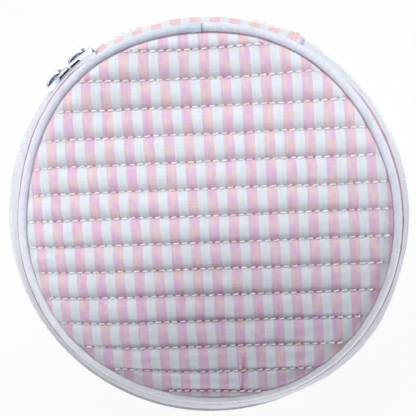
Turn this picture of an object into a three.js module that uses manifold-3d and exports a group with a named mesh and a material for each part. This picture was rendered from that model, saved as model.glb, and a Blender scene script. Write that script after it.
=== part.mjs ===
// A round quilted jewelry case: a shallow padded base and lid with piped edges, joined by a zip
// that runs round the wall and by a striped cloth gusset at the back, with a ring roll inside.
// Millimetres, +Z up. The origin is on the table under the middle of the case, and the hinge is at +Y.

import * as THREE from 'three';
import { mergeVertices } from 'three/addons/utils/BufferGeometryUtils.js';
import Module from 'manifold-3d';

const wasm = await Module();
wasm.setup();

// Driving sizes of the case
const tapeRadius = 75.3;          // outer face of the zip tape where its two halves meet
const wallLean = 5.6;             // how much further out that is than the middle of the pipings
const pipingCord = 3.5;           // diameter of the covered cord
const pipingDepth = 11.5;         // from the seam line to the middle of either piping
const pipingJoinLength = 4.6;     // the lapped end at the back
const pipingJoinOffset = 2.0;     // the lap starts this far to the right of the middle
const pipingJoinExtra = 0.22;     // how much thicker the lap is, on the radius
const clothGap = 0.3;             // between pieces of cloth that are sewn or laid together

// Driving sizes of the panels
const quiltPitch = 9.8;           // from one row of stitching to the next
const quiltBackMargin = 5.4;      // from the lid's back edge to its first row of stitching
const quiltLeastMargin = 0.5;     // no row lies closer to an edge than this
const coverCrown = 2.7;           // how far the padding swells beyond its edge
const quiltPuff = 1.15;           // how far a channel swells beyond its stitching
const coverEdge = 0.8;            // thickness of a cover where it meets the piping
const coverSink = 0.2;            // a cover's inner face lies this far inside the middle of its piping
const basePressed = 0.45;         // how much of the base's swelling the table presses flat
const boardThickness = 1.2;
const boardInset = 1.6;           // the card stops this far inside the edge of its cover
const liningThickness = 0.8;

// Driving sizes of the wall
const gussetHalfAngle = THREE.MathUtils.degToRad(30.4);
const gussetThickness = 0.9;
const gussetHem = 4.2;            // the folded end of the gusset, along the wall
const gussetHemExtra = 0.45;      // how much thicker the fold is
const gussetLiningThickness = 0.6;
const tapeThickness = 0.7;
const wallBulge = 1.3;            // how far the wall stands out from a straight line, half way up
const wallFootOut = 1.575;        // from the middle of the piping to the wall's outer face beside it
const sideLiningStandOff = 0.5;   // room for the turned edges behind the tape, beyond the cloth's gap
const sideLiningStop = 4.9;       // the lining stops this far from the seam, to let the sliders by

// Driving sizes of the zip
const toothPitch = 3.1;
const toothReach = 0.75;          // how far a tooth goes past the seam line
const toothGap = 0.3;             // between a tooth and its neighbours of the other half
const toothTaper = 0.12;          // how much a tooth narrows on each side from the seam line to its end
const toothDepth = 2.2;           // through the wall
const toothProud = 0.9;           // how far the teeth stand out from the tape's face
const railHeight = 1.1;           // the edge bead that carries the teeth
const sliderLength = 10.5;
const sliderNoseHeight = 8.4;
const sliderTailHeight = 6.6;
const sliderPlate = 1.0;
const sliderLip = 0.85;
const sliderClearance = 0.3;
const backPlateClearance = 0.45;
const sliderStop = 0.9;           // from the gusset to the slider that is parked beside it
const sliderSpacing = 0.9;        // between the two sliders
const bridgeLength = 6.0;
const bridgeRise = 3.0;
const bridgeBar = 1.0;
const bridgeWidth = 2.0;
const bridgeOffset = -1.7;        // the bridge sits off the middle, along the chain
const pullLength = 7.3;
const pullWidth = 5.6;
const pullThickness = 1.1;
const pullArm = 1.25;             // either side of the window in the pull
const pullLift = 0.35;            // from the slider's plate to the pull's bar
const pullBow = 1.5;              // how far the leaf bows out beyond its bar

// Driving sizes of the inside
const rollDiameter = 11.0;
const rollLength = 84.0;
const rollSetback = 16.0;         // the roll lies this far behind the middle
const strapWidth = 12.0;
const strapThickness = 1.0;
const strapLap = 9.0;             // how far the strap lies over the end of the roll
const strapStandOff = 0.5;        // from the end of the roll to the strap beside it
const snapDiameter = 7.0;
const snapCapHeight = 1.0;
const studDiameter = 3.0;
const studHeight = 0.9;
const snapSeat = 0.05;            // the snap's halves are set this close on their cloth
const pocketStandOff = 8.0;       // from the side lining to the pocket in the base
const pocketHeight = 6.8;
const pocketThickness = 1.0;
const pocketLean = 0.6;           // its gathered top is drawn in by this much
const pocketGathers = 24;
const gatherDepth = 0.45;
const pocketHalfAngle = THREE.MathUtils.degToRad(58);
const elasticDiameter = 2.0;
const lidPocketEdge = 6.0;        // the mouth of the lid's pocket, behind the middle
const lidPocketInset = 4.0;       // from the pocket's round edge to the edge of the lining
const lidPocketThickness = 1.1;

// Round pieces are divided alike, so that neighbours keep their gaps
const ringSteps = 60;
const cordSides = 8;

// Directions round the case, from +X towards +Y
const back = Math.PI / 2;
const front = -Math.PI / 2;
const fullTurn = 2 * Math.PI;
const zipStart = back + gussetHalfAngle;
const zipEnd = back - gussetHalfAngle + fullTurn;

// Heights and radii that follow from the driving sizes. The case stands on its pressed base cover.
const baseCoverInside = coverEdge + coverCrown + quiltPuff - basePressed;
const basePipingHeight = baseCoverInside - coverSink;
const seamHeight = basePipingHeight + pipingDepth;
const lidPipingHeight = seamHeight + pipingDepth;
const lidCoverInside = lidPipingHeight - coverSink;
const pipingRadius = tapeRadius - wallLean;
const pipingCordRadius = pipingCord / 2;
const coverRadius = pipingRadius - pipingCordRadius - clothGap;
const boardRadius = coverRadius - boardInset;
const baseBoardFloor = baseCoverInside + clothGap;
const baseLiningFloor = baseBoardFloor + boardThickness + clothGap;
const baseFloor = baseLiningFloor + liningThickness;
const lidBoardUnderside = lidCoverInside - clothGap - boardThickness;
const lidLiningUnderside = lidBoardUnderside - clothGap - liningThickness;
const sliderArc = sliderLength / tapeRadius;

// Colours of the cloth, tape and metal
const finishes = {
  quilt: { color: 0xf0dce6, roughness: 0.85, metalness: 0 },
  piping: { color: 0xdcdeee, roughness: 0.8, metalness: 0 },
  gusset: { color: 0xfadcdc, roughness: 0.85, metalness: 0 },
  tape: { color: 0xe6eeee, roughness: 0.75, metalness: 0 },
  teeth: { color: 0xf2f5f5, roughness: 0.45, metalness: 0 },
  nickel: { color: 0xd8dadd, roughness: 0.22, metalness: 1 },
  lining: { color: 0xf6e3ea, roughness: 0.8, metalness: 0 },
  board: { color: 0xd9d2c4, roughness: 0.9, metalness: 0 },
  elastic: { color: 0xf4eef2, roughness: 0.7, metalness: 0 },
};

const jewelryCase = new THREE.Group();

function addPiece(name, geometry, finish, group = jewelryCase) {
  const mesh = new THREE.Mesh(geometry, new THREE.MeshStandardMaterial(finishes[finish]));
  mesh.name = name;
  group.add(mesh);
  return mesh;
}

// Solids from rings of points. Each ring is a closed outline, and the solid runs from the first to
// the last. A loop joins the last ring to the first, and otherwise both ends are closed flat.
function loft(rings, flatten, loop = false) {
  const count = rings[0].length;
  const positions = rings.flat().flatMap((point) => [point.x, point.y, point.z]);
  const index = [];
  const spans = loop ? rings.length : rings.length - 1;
  for (let ring = 0; ring < spans; ring += 1) {
    const here = ring * count;
    const next = ((ring + 1) % rings.length) * count;
    for (let side = 0; side < count; side += 1) {
      const turn = (side + 1) % count;
      index.push(here + side, next + side, next + turn);
      index.push(here + side, next + turn, here + turn);
    }
  }
  if (!loop) {
    const last = (rings.length - 1) * count;
    for (const [a, b, c] of THREE.ShapeUtils.triangulateShape(rings[0].map(flatten), [])) {
      index.push(a, b, c);
    }
    for (const [a, b, c] of THREE.ShapeUtils.triangulateShape(rings.at(-1).map(flatten), [])) {
      index.push(last + a, last + c, last + b);
    }
  }
  const geometry = new THREE.BufferGeometry();
  geometry.setAttribute('position', new THREE.Float32BufferAttribute(positions, 3));
  geometry.setIndex(index);
  return geometry;
}

function aroundAxis(radius, angle, height) {
  return new THREE.Vector3(radius * Math.cos(angle), radius * Math.sin(angle), height);
}

// A section of [radius, height] points, counter-clockwise, carried round the case. The section
// may be a function of the angle, and a sweep of a full turn closes on itself.
function sweepAround(section, from, to, steps) {
  const sectionAt = typeof section === 'function' ? section : () => section;
  const loop = Math.abs(to - from - fullTurn) < 1e-9;
  const rings = [];
  for (let step = 0; step < (loop ? steps : steps + 1); step += 1) {
    const angle = from + ((to - from) * step) / steps;
    rings.push(sectionAt(angle).map(([radius, height]) => aroundAxis(radius, angle, height)));
  }
  return loft(rings, (point) => new THREE.Vector2(Math.hypot(point.x, point.y), point.z), loop);
}

function stepsFor(from, to) {
  return Math.max(2, Math.round((ringSteps * (to - from)) / fullTurn));
}

function roundSection(radius, height, sectionRadius, sides = cordSides) {
  return Array.from({ length: sides }, (_, side) => {
    const turn = ((side + 0.5) / sides) * fullTurn;
    return [radius + sectionRadius * Math.cos(turn), height + sectionRadius * Math.sin(turn)];
  });
}

// A profile of [radius, height] points that starts and ends on the axis, turned into a solid
function turned(profile) {
  const points = profile.map(([radius, height]) => new THREE.Vector2(radius, height));
  return outward(new THREE.LatheGeometry(points, ringSteps).rotateX(Math.PI / 2));
}

// Drops all but the positions, and turns the faces out if the outline was drawn clockwise
function outward(geometry) {
  const bare = geometry.clone();
  bare.deleteAttribute('normal');
  bare.deleteAttribute('uv');
  const merged = mergeVertices(bare, 1e-4);
  const index = [];
  const corners = [new THREE.Vector3(), new THREE.Vector3(), new THREE.Vector3()];
  const source = merged.getIndex().array;
  let volume = 0;
  for (let face = 0; face < source.length; face += 3) {
    const [a, b, c] = source.slice(face, face + 3);
    if (a === b || b === c || c === a) {
      continue;
    }
    index.push(a, b, c);
    corners.forEach((corner, side) => corner.fromBufferAttribute(merged.getAttribute('position'), [a, b, c][side]));
    volume += corners[0].dot(corners[1].clone().cross(corners[2]));
  }
  if (volume < 0) {
    index.reverse();
  }
  merged.setIndex(index);
  return merged;
}

function toManifold(geometry) {
  const closed = outward(geometry);
  return new wasm.Manifold(new wasm.Mesh({
    numProp: 3,
    vertProperties: new Float32Array(closed.getAttribute('position').array),
    triVerts: new Uint32Array(closed.getIndex().array),
  }));
}

function fromManifold(solid) {
  const mesh = solid.getMesh();
  const geometry = new THREE.BufferGeometry();
  geometry.setAttribute('position', new THREE.Float32BufferAttribute(mesh.vertProperties, 3));
  geometry.setIndex(Array.from(mesh.triVerts));
  return geometry;
}

function extruded(shape, depth, curveSegments = 8) {
  return new THREE.ExtrudeGeometry(shape, { depth, bevelEnabled: false, curveSegments });
}

// The wall leans out from each piping to the seam. Its outer face is a bowed line between the two,
// given by how far up it is, from 0 beside the piping to 1 at the seam.
const wallFootDrop = pipingCordRadius + clothGap;
const wallFootRadius = pipingRadius + wallFootOut;
function wallPoint(share, inset, upward) {
  const foot = pipingDepth - wallFootDrop;
  const radius = wallFootRadius + (tapeRadius - wallFootRadius) * share + wallBulge * Math.sin(Math.PI * share);
  return [radius - inset, seamHeight + upward * foot * (1 - share)];
}

// The cloth between two shares of the wall's height, as a closed section
function wallSection(shareFrom, shareTo, insetFrom, thickness, upward, divisions = 3) {
  const shares = Array.from({ length: divisions + 1 }, (_, i) => shareFrom + ((shareTo - shareFrom) * i) / divisions);
  const outer = shares.map((share) => wallPoint(share, insetFrom, upward));
  const inner = shares.map((share) => wallPoint(share, insetFrom + thickness, upward)).reverse();
  const section = [...outer, ...inner];
  return upward < 0 ? section : section.reverse();
}

// A quilted cover: slices across the case, each with a flat inner face and a crowned outer face
// that puffs up between the rows of stitching. upward is 1 for the lid and -1 for the base, whose
// swelling stops at the table.
const coverEnd = coverRadius * 0.999;
function quiltedCover(insideHeight, upward, stitching) {
  const columns = [-1, -0.965, -0.86, -0.6, -0.2, 0.2, 0.6, 0.86, 0.965, 1];
  const lines = [coverEnd, ...stitching, -coverEnd];
  const divisions = 4;
  const slices = [];
  for (let channel = 0; channel < lines.length - 1; channel += 1) {
    const wide = lines[channel] - lines[channel + 1];
    for (let part = 0; part < divisions; part += 1) {
      slices.push({ y: lines[channel] - (wide * part) / divisions, swell: Math.sin((Math.PI * part) / divisions) });
    }
  }
  slices.push({ y: -coverEnd, swell: 0 });
  const rings = slices.map(({ y, swell }) => {
    const halfWidth = Math.sqrt(coverRadius * coverRadius - y * y);
    const outer = columns.map((column) => {
      const x = halfWidth * column;
      const outwardShare = Math.min(1, Math.hypot(x, y) / coverRadius);
      const pillow = Math.sqrt(1 - outwardShare ** 6);
      const padding = coverEdge + (coverCrown + quiltPuff * swell ** 0.7) * pillow;
      return new THREE.Vector3(x, y, Math.max(0, insideHeight + upward * padding));
    });
    const inner = [1, -1].map((side) => new THREE.Vector3(halfWidth * side, y, insideHeight));
    const ring = [...outer, ...inner];
    return upward > 0 ? ring : ring.reverse();
  });
  return outward(loft(rings, (point) => new THREE.Vector2(-point.x, point.z)));
}

// The lid's rows are counted from its back edge
function lidStitching() {
  const rows = [];
  for (let y = coverRadius - quiltBackMargin; y > quiltLeastMargin - coverEnd; y -= quiltPitch) {
    rows.push(y);
  }
  return rows;
}

// The base's rows are centred, so that the case stands evenly on a channel in the middle
function baseStitching() {
  const half = [];
  for (let y = quiltPitch / 2; y < coverEnd - quiltLeastMargin; y += quiltPitch) {
    half.push(y);
  }
  return [...half.toReversed(), ...half.map((y) => -y)];
}

// Round cord in its cloth sleeve, with a lapped end at the back
function piping(height) {
  const lapStart = back - pipingJoinOffset / pipingRadius;
  const lapEnd = lapStart + pipingJoinLength / pipingRadius;
  return sweepAround((angle) => {
    const inLap = angle > lapStart && angle < lapEnd;
    return roundSection(pipingRadius, height, pipingCordRadius + (inLap ? pipingJoinExtra : 0));
  }, back, back + fullTurn, ringSteps);
}

// The striped cloth across the hinge: one strip from piping to piping, thicker at its folded ends
function gusset(inset, thickness, hem, reach) {
  const shares = [0, 0.25, 0.5, 0.75, 1];
  const hemAngle = hem / tapeRadius;
  const from = back - gussetHalfAngle + reach;
  const to = back + gussetHalfAngle - reach;
  const rows = [from, from + hemAngle, from + hemAngle + 0.004];
  const middleSteps = 10;
  for (let i = 1; i < middleSteps; i += 1) {
    rows.push(from + hemAngle + ((to - from - 2 * hemAngle) * i) / middleSteps);
  }
  rows.push(to - hemAngle - 0.004, to - hemAngle, to);
  const rings = rows.map((angle) => {
    const folded = Math.min(angle - from, to - angle) <= hemAngle + 1e-6;
    const extra = hem > 0 && folded ? gussetHemExtra : 0;
    const wall = (upward, depth) => shares.map((share) => wallPoint(share, depth, upward));
    const outer = [...wall(-1, inset - extra), ...wall(1, inset - extra).reverse().slice(1)];
    const inner = [...wall(-1, inset + thickness), ...wall(1, inset + thickness).reverse().slice(1)];
    return [...outer, ...inner.reverse()].map(([radius, height]) => aroundAxis(radius, angle, height));
  });
  return outward(loft(rings, (point) => new THREE.Vector2(Math.hypot(point.x, point.y), point.z)));
}

// One half of the zip's chain: a bead along the tape's edge with tapered teeth, which stand in the
// gaps between the teeth of the other half
const toothCount = Math.floor(((zipEnd - zipStart) * tapeRadius) / toothPitch) - 1;
const toothAngle = (zipEnd - zipStart) / (toothCount + 1);
const toothRoot = toothReach + toothGap;
function chainHalf(upward) {
  const outer = tapeRadius + toothProud;
  const inner = outer - toothDepth;
  const tipHeight = seamHeight - upward * toothReach;
  const rootHeight = seamHeight + upward * toothRoot;
  const beadHeight = rootHeight + upward * railHeight;
  const middleHalf = toothAngle / 4 - toothGap / 2 / tapeRadius;
  const tipHalf = middleHalf - toothTaper / tapeRadius;
  const rootHalf = middleHalf + (toothTaper * toothRoot) / toothReach / tapeRadius;
  const firstMiddle = zipStart + toothAngle * (upward > 0 ? 1.0 : 0.5);
  const positions = [];
  const index = [];
  const put = (angle, height) => {
    const at = positions.length / 3;
    positions.push(...aroundAxis(outer, angle, height).toArray(), ...aroundAxis(inner, angle, height).toArray());
    return at;
  };
  const cells = [];
  for (let tooth = 0; tooth < toothCount; tooth += 1) {
    const middle = firstMiddle + tooth * toothAngle;
    cells.push({
      bead: put(middle - rootHalf, beadHeight),
      near: put(middle - rootHalf, rootHeight),
      tipNear: put(middle - tipHalf, tipHeight),
      tipFar: put(middle + tipHalf, tipHeight),
      far: put(middle + rootHalf, rootHeight),
    });
  }
  const end = firstMiddle + (toothCount - 0.5) * toothAngle;
  const last = { bead: put(end, beadHeight), near: put(end, rootHeight) };
  // Each face is drawn on the outside of the wall and again, turned over, on the inside
  const face = (a, b, c) => index.push(a, b, c, a + 1, c + 1, b + 1);
  const rim = (a, b) => index.push(b, a, a + 1, b, a + 1, b + 1);
  cells.forEach((cell, i) => {
    const next = cells[i + 1] ?? last;
    face(cell.bead, cell.near, cell.far);
    face(cell.bead, cell.far, next.bead);
    face(cell.far, next.near, next.bead);
    face(cell.near, cell.tipNear, cell.tipFar);
    face(cell.near, cell.tipFar, cell.far);
    rim(next.bead, cell.bead);
    rim(cell.near, cell.tipNear);
    rim(cell.tipNear, cell.tipFar);
    rim(cell.tipFar, cell.far);
    rim(cell.far, next.near);
  });
  rim(cells[0].bead, cells[0].near);
  rim(last.near, last.bead);
  const geometry = new THREE.BufferGeometry();
  geometry.setAttribute('position', new THREE.Float32BufferAttribute(positions, 3));
  geometry.setIndex(index);
  return outward(geometry);
}

// Tape from the piping to just short of the bead
const tapeTopShare = 1 - (toothRoot + railHeight + clothGap) / (pipingDepth - wallFootDrop);
function zipTape(upward) {
  const from = zipStart + clothGap / tapeRadius;
  const to = zipEnd - clothGap / tapeRadius;
  return outward(sweepAround(wallSection(0, tapeTopShare, 0, tapeThickness, upward), from, to, stepsFor(from, to)));
}

// Lining of the wall, which stops short of the seam
const sideLiningInset = tapeThickness + clothGap + sideLiningStandOff;
const sideLiningShare = 1 - sideLiningStop / (pipingDepth - wallFootDrop);
function sideLining(upward) {
  const from = zipStart + clothGap / tapeRadius;
  const to = zipEnd - clothGap / tapeRadius;
  const section = wallSection(0, sideLiningShare, sideLiningInset, liningThickness, upward, 2);
  return outward(sweepAround(section, from, to, stepsFor(from, to)));
}

// The linings of the floor and of the lid reach the foot of that lining
const liningRadius = wallFootRadius - sideLiningInset - liningThickness - clothGap;

// Sliders. The plate in front of the teeth tapers from nose to tail and turns in below the bead;
// above the bead it is open, so that the lid's half of the chain can be lifted out.
// They are drawn at +X and turned into place. nose is 1 where the wide end is towards +Y.
const chainFace = tapeRadius + toothProud;
const plateInner = chainFace + sliderClearance;
const plateOuter = plateInner + sliderPlate;
const beadFar = toothRoot + railHeight;
function sliderHeightAt(angle, nose) {
  const share = THREE.MathUtils.clamp(0.5 + (nose * angle) / sliderArc, 0, 1);
  return THREE.MathUtils.lerp(sliderTailHeight, sliderNoseHeight, THREE.MathUtils.smoothstep(share, 0.25, 0.8));
}

function sliderBody(nose) {
  const plate = sweepAround((angle) => {
    const half = sliderHeightAt(angle, nose) / 2;
    const low = seamHeight - Math.max(half, beadFar + sliderClearance + sliderPlate);
    const lipTop = seamHeight - beadFar - sliderClearance;
    return [
      [plateInner - sliderLip, low],
      [plateOuter - 0.3, low],
      [plateOuter, low + 0.3],
      [plateOuter, seamHeight + half - 0.3],
      [plateOuter - 0.3, seamHeight + half],
      [plateInner, seamHeight + half],
      [plateInner, lipTop],
      [plateInner - sliderLip, lipTop],
    ];
  }, -sliderArc / 2, sliderArc / 2, 6);
  return fromManifold(toManifold(plate).add(toManifold(bridge())));
}

// The arch that holds the pull, standing on the plate and running along the chain
const bridgeSink = 0.25;
function bridge() {
  const half = bridgeLength / 2;
  const foot = plateOuter - bridgeSink;
  const shape = new THREE.Shape();
  shape.moveTo(foot, bridgeOffset - half);
  shape.bezierCurveTo(
    plateOuter + bridgeRise * 1.25, bridgeOffset - half,
    plateOuter + bridgeRise * 1.25, bridgeOffset + half,
    foot, bridgeOffset + half,
  );
  shape.lineTo(foot, bridgeOffset + half - bridgeBar);
  shape.bezierCurveTo(
    plateOuter + (bridgeRise - bridgeBar) * 1.28, bridgeOffset + half - bridgeBar,
    plateOuter + (bridgeRise - bridgeBar) * 1.28, bridgeOffset - half + bridgeBar,
    foot, bridgeOffset - half + bridgeBar,
  );
  shape.closePath();
  return extruded(shape, bridgeWidth, 10).translate(0, 0, seamHeight - bridgeWidth / 2);
}

// The plate behind the teeth. Its long edges are eased back, because the tape leans in past them.
const backPlateOuter = chainFace - toothDepth - backPlateClearance;
function sliderBackPlate(nose) {
  return outward(sweepAround((angle) => {
    const half = sliderHeightAt(angle, nose) / 2;
    const tapeInner = wallPoint(1 - half / (pipingDepth - wallFootDrop), tapeThickness, 1)[0];
    const edge = Math.min(backPlateOuter, tapeInner - backPlateClearance);
    return [
      [backPlateOuter - sliderPlate, seamHeight - half],
      [edge, seamHeight - half],
      [backPlateOuter, seamHeight - beadFar],
      [backPlateOuter, seamHeight + beadFar],
      [edge, seamHeight + half],
      [backPlateOuter - sliderPlate, seamHeight + half],
    ];
  }, -sliderArc / 2, sliderArc / 2, 6));
}

// The pull: a bowed leaf with a window round the bridge. Its round bar lies under the arch.
const pullPivotRadius = plateOuter + pullLift + pullThickness / 2;
const pullPivotOffset = bridgeOffset - 0.4;
function pull() {
  const barRadius = pullThickness / 2;
  const tip = pullPivotOffset + pullLength;
  const side = new THREE.Shape();
  side.moveTo(pullPivotRadius - barRadius, pullPivotOffset);
  side.absarc(pullPivotRadius, pullPivotOffset, barRadius, Math.PI, 2 * Math.PI, false);
  side.bezierCurveTo(
    pullPivotRadius + barRadius + pullBow, pullPivotOffset + pullLength * 0.3,
    pullPivotRadius + barRadius + pullBow / 2, pullPivotOffset + pullLength * 0.75,
    pullPivotRadius - 0.15, tip,
  );
  side.lineTo(pullPivotRadius - 0.85, tip - 0.5);
  side.bezierCurveTo(
    pullPivotRadius + 0.3 * pullBow, pullPivotOffset + pullLength * 0.7,
    pullPivotRadius + 0.73 * pullBow, pullPivotOffset + pullLength * 0.35,
    pullPivotRadius - barRadius, pullPivotOffset,
  );
  const thick = toManifold(extruded(side, pullWidth, 8).translate(0, 0, seamHeight - pullWidth / 2));
  const plan = new THREE.Shape();
  const half = pullWidth / 2;
  const near = pullPivotOffset - barRadius - 0.2;
  plan.moveTo(near, -half + 0.8);
  plan.lineTo(near + 0.8, -half);
  plan.lineTo(tip - half * 0.9, -half);
  plan.quadraticCurveTo(tip + 0.3, -half, tip + 0.3, 0);
  plan.quadraticCurveTo(tip + 0.3, half, tip - half * 0.9, half);
  plan.lineTo(near + 0.8, half);
  plan.lineTo(near, half - 0.8);
  plan.closePath();
  const window = new THREE.Path();
  const windowHalf = half - pullArm;
  const windowNear = pullPivotOffset + 0.6 * barRadius;
  const windowFar = bridgeOffset + bridgeLength / 2 + 0.5;
  window.moveTo(windowNear, -windowHalf);
  window.lineTo(windowNear, windowHalf);
  window.lineTo(windowFar, windowHalf);
  window.lineTo(windowFar, -windowHalf);
  window.closePath();
  plan.holes.push(window);
  const depth = 12;
  const flat = extruded(plan, depth, 5);
  // Lay the plan in the wall's plane: its x runs along the chain and its y is up
  flat.applyMatrix4(new THREE.Matrix4().set(0, 0, 1, pullPivotRadius - depth / 2, 1, 0, 0, 0, 0, 1, 0, seamHeight, 0, 0, 0, 1));
  return fromManifold(thick.intersect(toManifold(flat)));
}

function addSlider(side, centre, nose) {
  const group = new THREE.Group();
  group.rotation.z = centre;
  jewelryCase.add(group);
  addPiece(`zip_slider_${side}`, sliderBody(nose), 'nickel', group);
  addPiece(`zip_slider_${side}_back_plate`, sliderBackPlate(nose), 'nickel', group);
  addPiece(`zip_pull_${side}`, pull(), 'nickel', group);
}

// The padded roll for rings, with domed ends, lying across the base
const rollHeight = baseFloor + clothGap + rollDiameter / 2;
function ringRoll() {
  const radius = rollDiameter / 2;
  const dome = radius * 0.55;
  const profile = [[0, -rollLength / 2]];
  for (let i = 1; i <= 3; i += 1) {
    const turn = ((Math.PI / 2) * i) / 3;
    profile.push([radius * Math.sin(turn), -rollLength / 2 + dome * (1 - Math.cos(turn))]);
  }
  const mirrored = profile.map(([r, x]) => [r, -x]).reverse();
  const points = [...profile, ...mirrored].map(([r, x]) => new THREE.Vector2(r, x));
  const geometry = new THREE.LatheGeometry(points, 24).rotateY(Math.PI / 24).rotateZ(Math.PI / 2);
  return outward(geometry.translate(0, rollSetback, rollHeight));
}

// The strap is sewn to the floor beyond the roll's end, stands up beside it and lies over its top
const rollTop = rollHeight + rollDiameter / 2;
const strapInner = rollLength / 2 + strapStandOff;
const strapUnderside = rollTop + studHeight + clothGap;
function ringStrap() {
  const foot = baseFloor + clothGap;
  const shape = new THREE.Shape();
  shape.moveTo(strapInner, foot);
  shape.lineTo(strapInner + strapThickness, foot);
  shape.lineTo(strapInner + strapThickness, strapUnderside);
  shape.quadraticCurveTo(
    strapInner + strapThickness, strapUnderside + strapThickness,
    strapInner, strapUnderside + strapThickness,
  );
  shape.lineTo(rollLength / 2 - strapLap, strapUnderside + strapThickness);
  shape.lineTo(rollLength / 2 - strapLap, strapUnderside);
  shape.lineTo(strapInner, strapUnderside);
  shape.closePath();
  const geometry = extruded(shape, strapWidth, 4).rotateX(Math.PI / 2);
  return outward(geometry.translate(0, rollSetback + strapWidth / 2, 0));
}

const snapX = rollLength / 2 - strapLap / 2;
function snapPart(profile) {
  const points = profile.map(([r, z]) => new THREE.Vector2(r, z));
  const geometry = new THREE.LatheGeometry(points, 16).rotateX(Math.PI / 2);
  return outward(geometry.translate(snapX, rollSetback, 0));
}

// The half of the snap fastener on the roll: a flange under a round-topped stud
function snapStud() {
  const foot = rollTop + snapSeat;
  const r = studDiameter / 2;
  return snapPart([[0, foot], [r * 0.8, foot], [r, foot + studHeight * 0.6], [r * 0.6, foot + studHeight], [0, foot + studHeight]]);
}

// The half on the strap: a domed cap over it
function snapCap() {
  const foot = strapUnderside + strapThickness + snapSeat;
  const r = snapDiameter / 2;
  return snapPart([[0, foot], [r, foot], [r, foot + 0.35 * snapCapHeight], [r * 0.6, foot + 0.85 * snapCapHeight], [0, foot + snapCapHeight]]);
}

// A gathered pocket that stands along the front of the base, with an elastic edge
const pocketRadius = wallFootRadius - sideLiningInset - liningThickness - pocketStandOff;
const pocketFoot = baseFloor + clothGap;
function basePocket() {
  const from = front - pocketHalfAngle;
  const to = front + pocketHalfAngle;
  return outward(sweepAround((angle) => {
    const wave = gatherDepth * Math.cos(((angle - from) / (to - from)) * fullTurn * pocketGathers);
    return [
      [pocketRadius - pocketThickness, pocketFoot],
      [pocketRadius, pocketFoot],
      [pocketRadius - pocketLean + wave, pocketFoot + pocketHeight],
      [pocketRadius - pocketThickness - pocketLean + wave, pocketFoot + pocketHeight],
    ];
  }, from, to, pocketGathers * 4));
}

function basePocketElastic() {
  const height = pocketFoot + pocketHeight + clothGap + elasticDiameter / 2;
  const from = front - pocketHalfAngle;
  const to = front + pocketHalfAngle;
  const section = roundSection(pocketRadius - pocketLean - pocketThickness / 2, height, elasticDiameter / 2, 6);
  return outward(sweepAround(section, from, to, stepsFor(from, to)));
}

// A flat slip pocket over the front of the lid's lining: a disc cut straight across at its mouth
const lidPocketRadius = liningRadius - lidPocketInset;
const lidPocketTop = lidLiningUnderside - clothGap;
function lidPocket() {
  const start = Math.asin((lidPocketEdge - elasticDiameter / 2 - clothGap) / lidPocketRadius);
  const shape = new THREE.Shape();
  shape.absarc(0, 0, lidPocketRadius, Math.PI - start, fullTurn + start, false);
  shape.closePath();
  return outward(extruded(shape, lidPocketThickness, 36).translate(0, 0, lidPocketTop - lidPocketThickness));
}

function lidPocketElastic() {
  const half = Math.sqrt(lidPocketRadius ** 2 - lidPocketEdge ** 2);
  const height = lidPocketTop - elasticDiameter / 2;
  const geometry = new THREE.CylinderGeometry(elasticDiameter / 2, elasticDiameter / 2, 2 * half, cordSides);
  return outward(geometry.rotateZ(Math.PI / 2).translate(0, lidPocketEdge, height));
}

function disc(radius, underside, thickness) {
  return turned([[0, underside], [radius, underside], [radius, underside + thickness], [0, underside + thickness]]);
}

// The base
addPiece('base_cover', quiltedCover(baseCoverInside, -1, baseStitching()), 'quilt');
addPiece('base_piping', outward(piping(basePipingHeight)), 'piping');
addPiece('base_board', disc(boardRadius, baseBoardFloor, boardThickness), 'board');
addPiece('base_lining', disc(liningRadius, baseLiningFloor, liningThickness), 'lining');
addPiece('base_side_lining', sideLining(-1), 'lining');
addPiece('base_zip_tape', zipTape(-1), 'tape');
addPiece('base_zip_teeth', chainHalf(-1), 'teeth');
addPiece('base_pocket', basePocket(), 'lining');
addPiece('base_pocket_elastic', basePocketElastic(), 'elastic');
addPiece('ring_roll', ringRoll(), 'lining');
addPiece('ring_snap_stud', snapStud(), 'nickel');
addPiece('ring_strap', ringStrap(), 'lining');
addPiece('ring_snap_cap', snapCap(), 'nickel');

// The hinge
addPiece('hinge_gusset', gusset(0, gussetThickness, gussetHem, 0), 'gusset');
addPiece('hinge_gusset_lining', gusset(gussetThickness + clothGap, gussetLiningThickness, 0, 0.01), 'lining');

// The lid
addPiece('lid_cover', quiltedCover(lidCoverInside, 1, lidStitching()), 'quilt');
addPiece('lid_piping', outward(piping(lidPipingHeight)), 'piping');
addPiece('lid_board', disc(boardRadius, lidBoardUnderside, boardThickness), 'board');
addPiece('lid_lining', disc(liningRadius, lidLiningUnderside, liningThickness), 'lining');
addPiece('lid_side_lining', sideLining(1), 'lining');
addPiece('lid_zip_tape', zipTape(1), 'tape');
addPiece('lid_zip_teeth', chainHalf(1), 'teeth');
addPiece('lid_pocket', lidPocket(), 'lining');
addPiece('lid_pocket_elastic', lidPocketElastic(), 'elastic');

// The sliders meet nose to nose at the back left, and the one beside the gusset is at its stop
const parkedCentre = zipStart + sliderStop / tapeRadius + sliderArc / 2;
const runningCentre = parkedCentre + sliderArc + sliderSpacing / tapeRadius;
addSlider('parked', parkedCentre, 1);
addSlider('running', runningCentre, -1);

export default jewelryCase;
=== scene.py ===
# %% [markdown]
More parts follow.
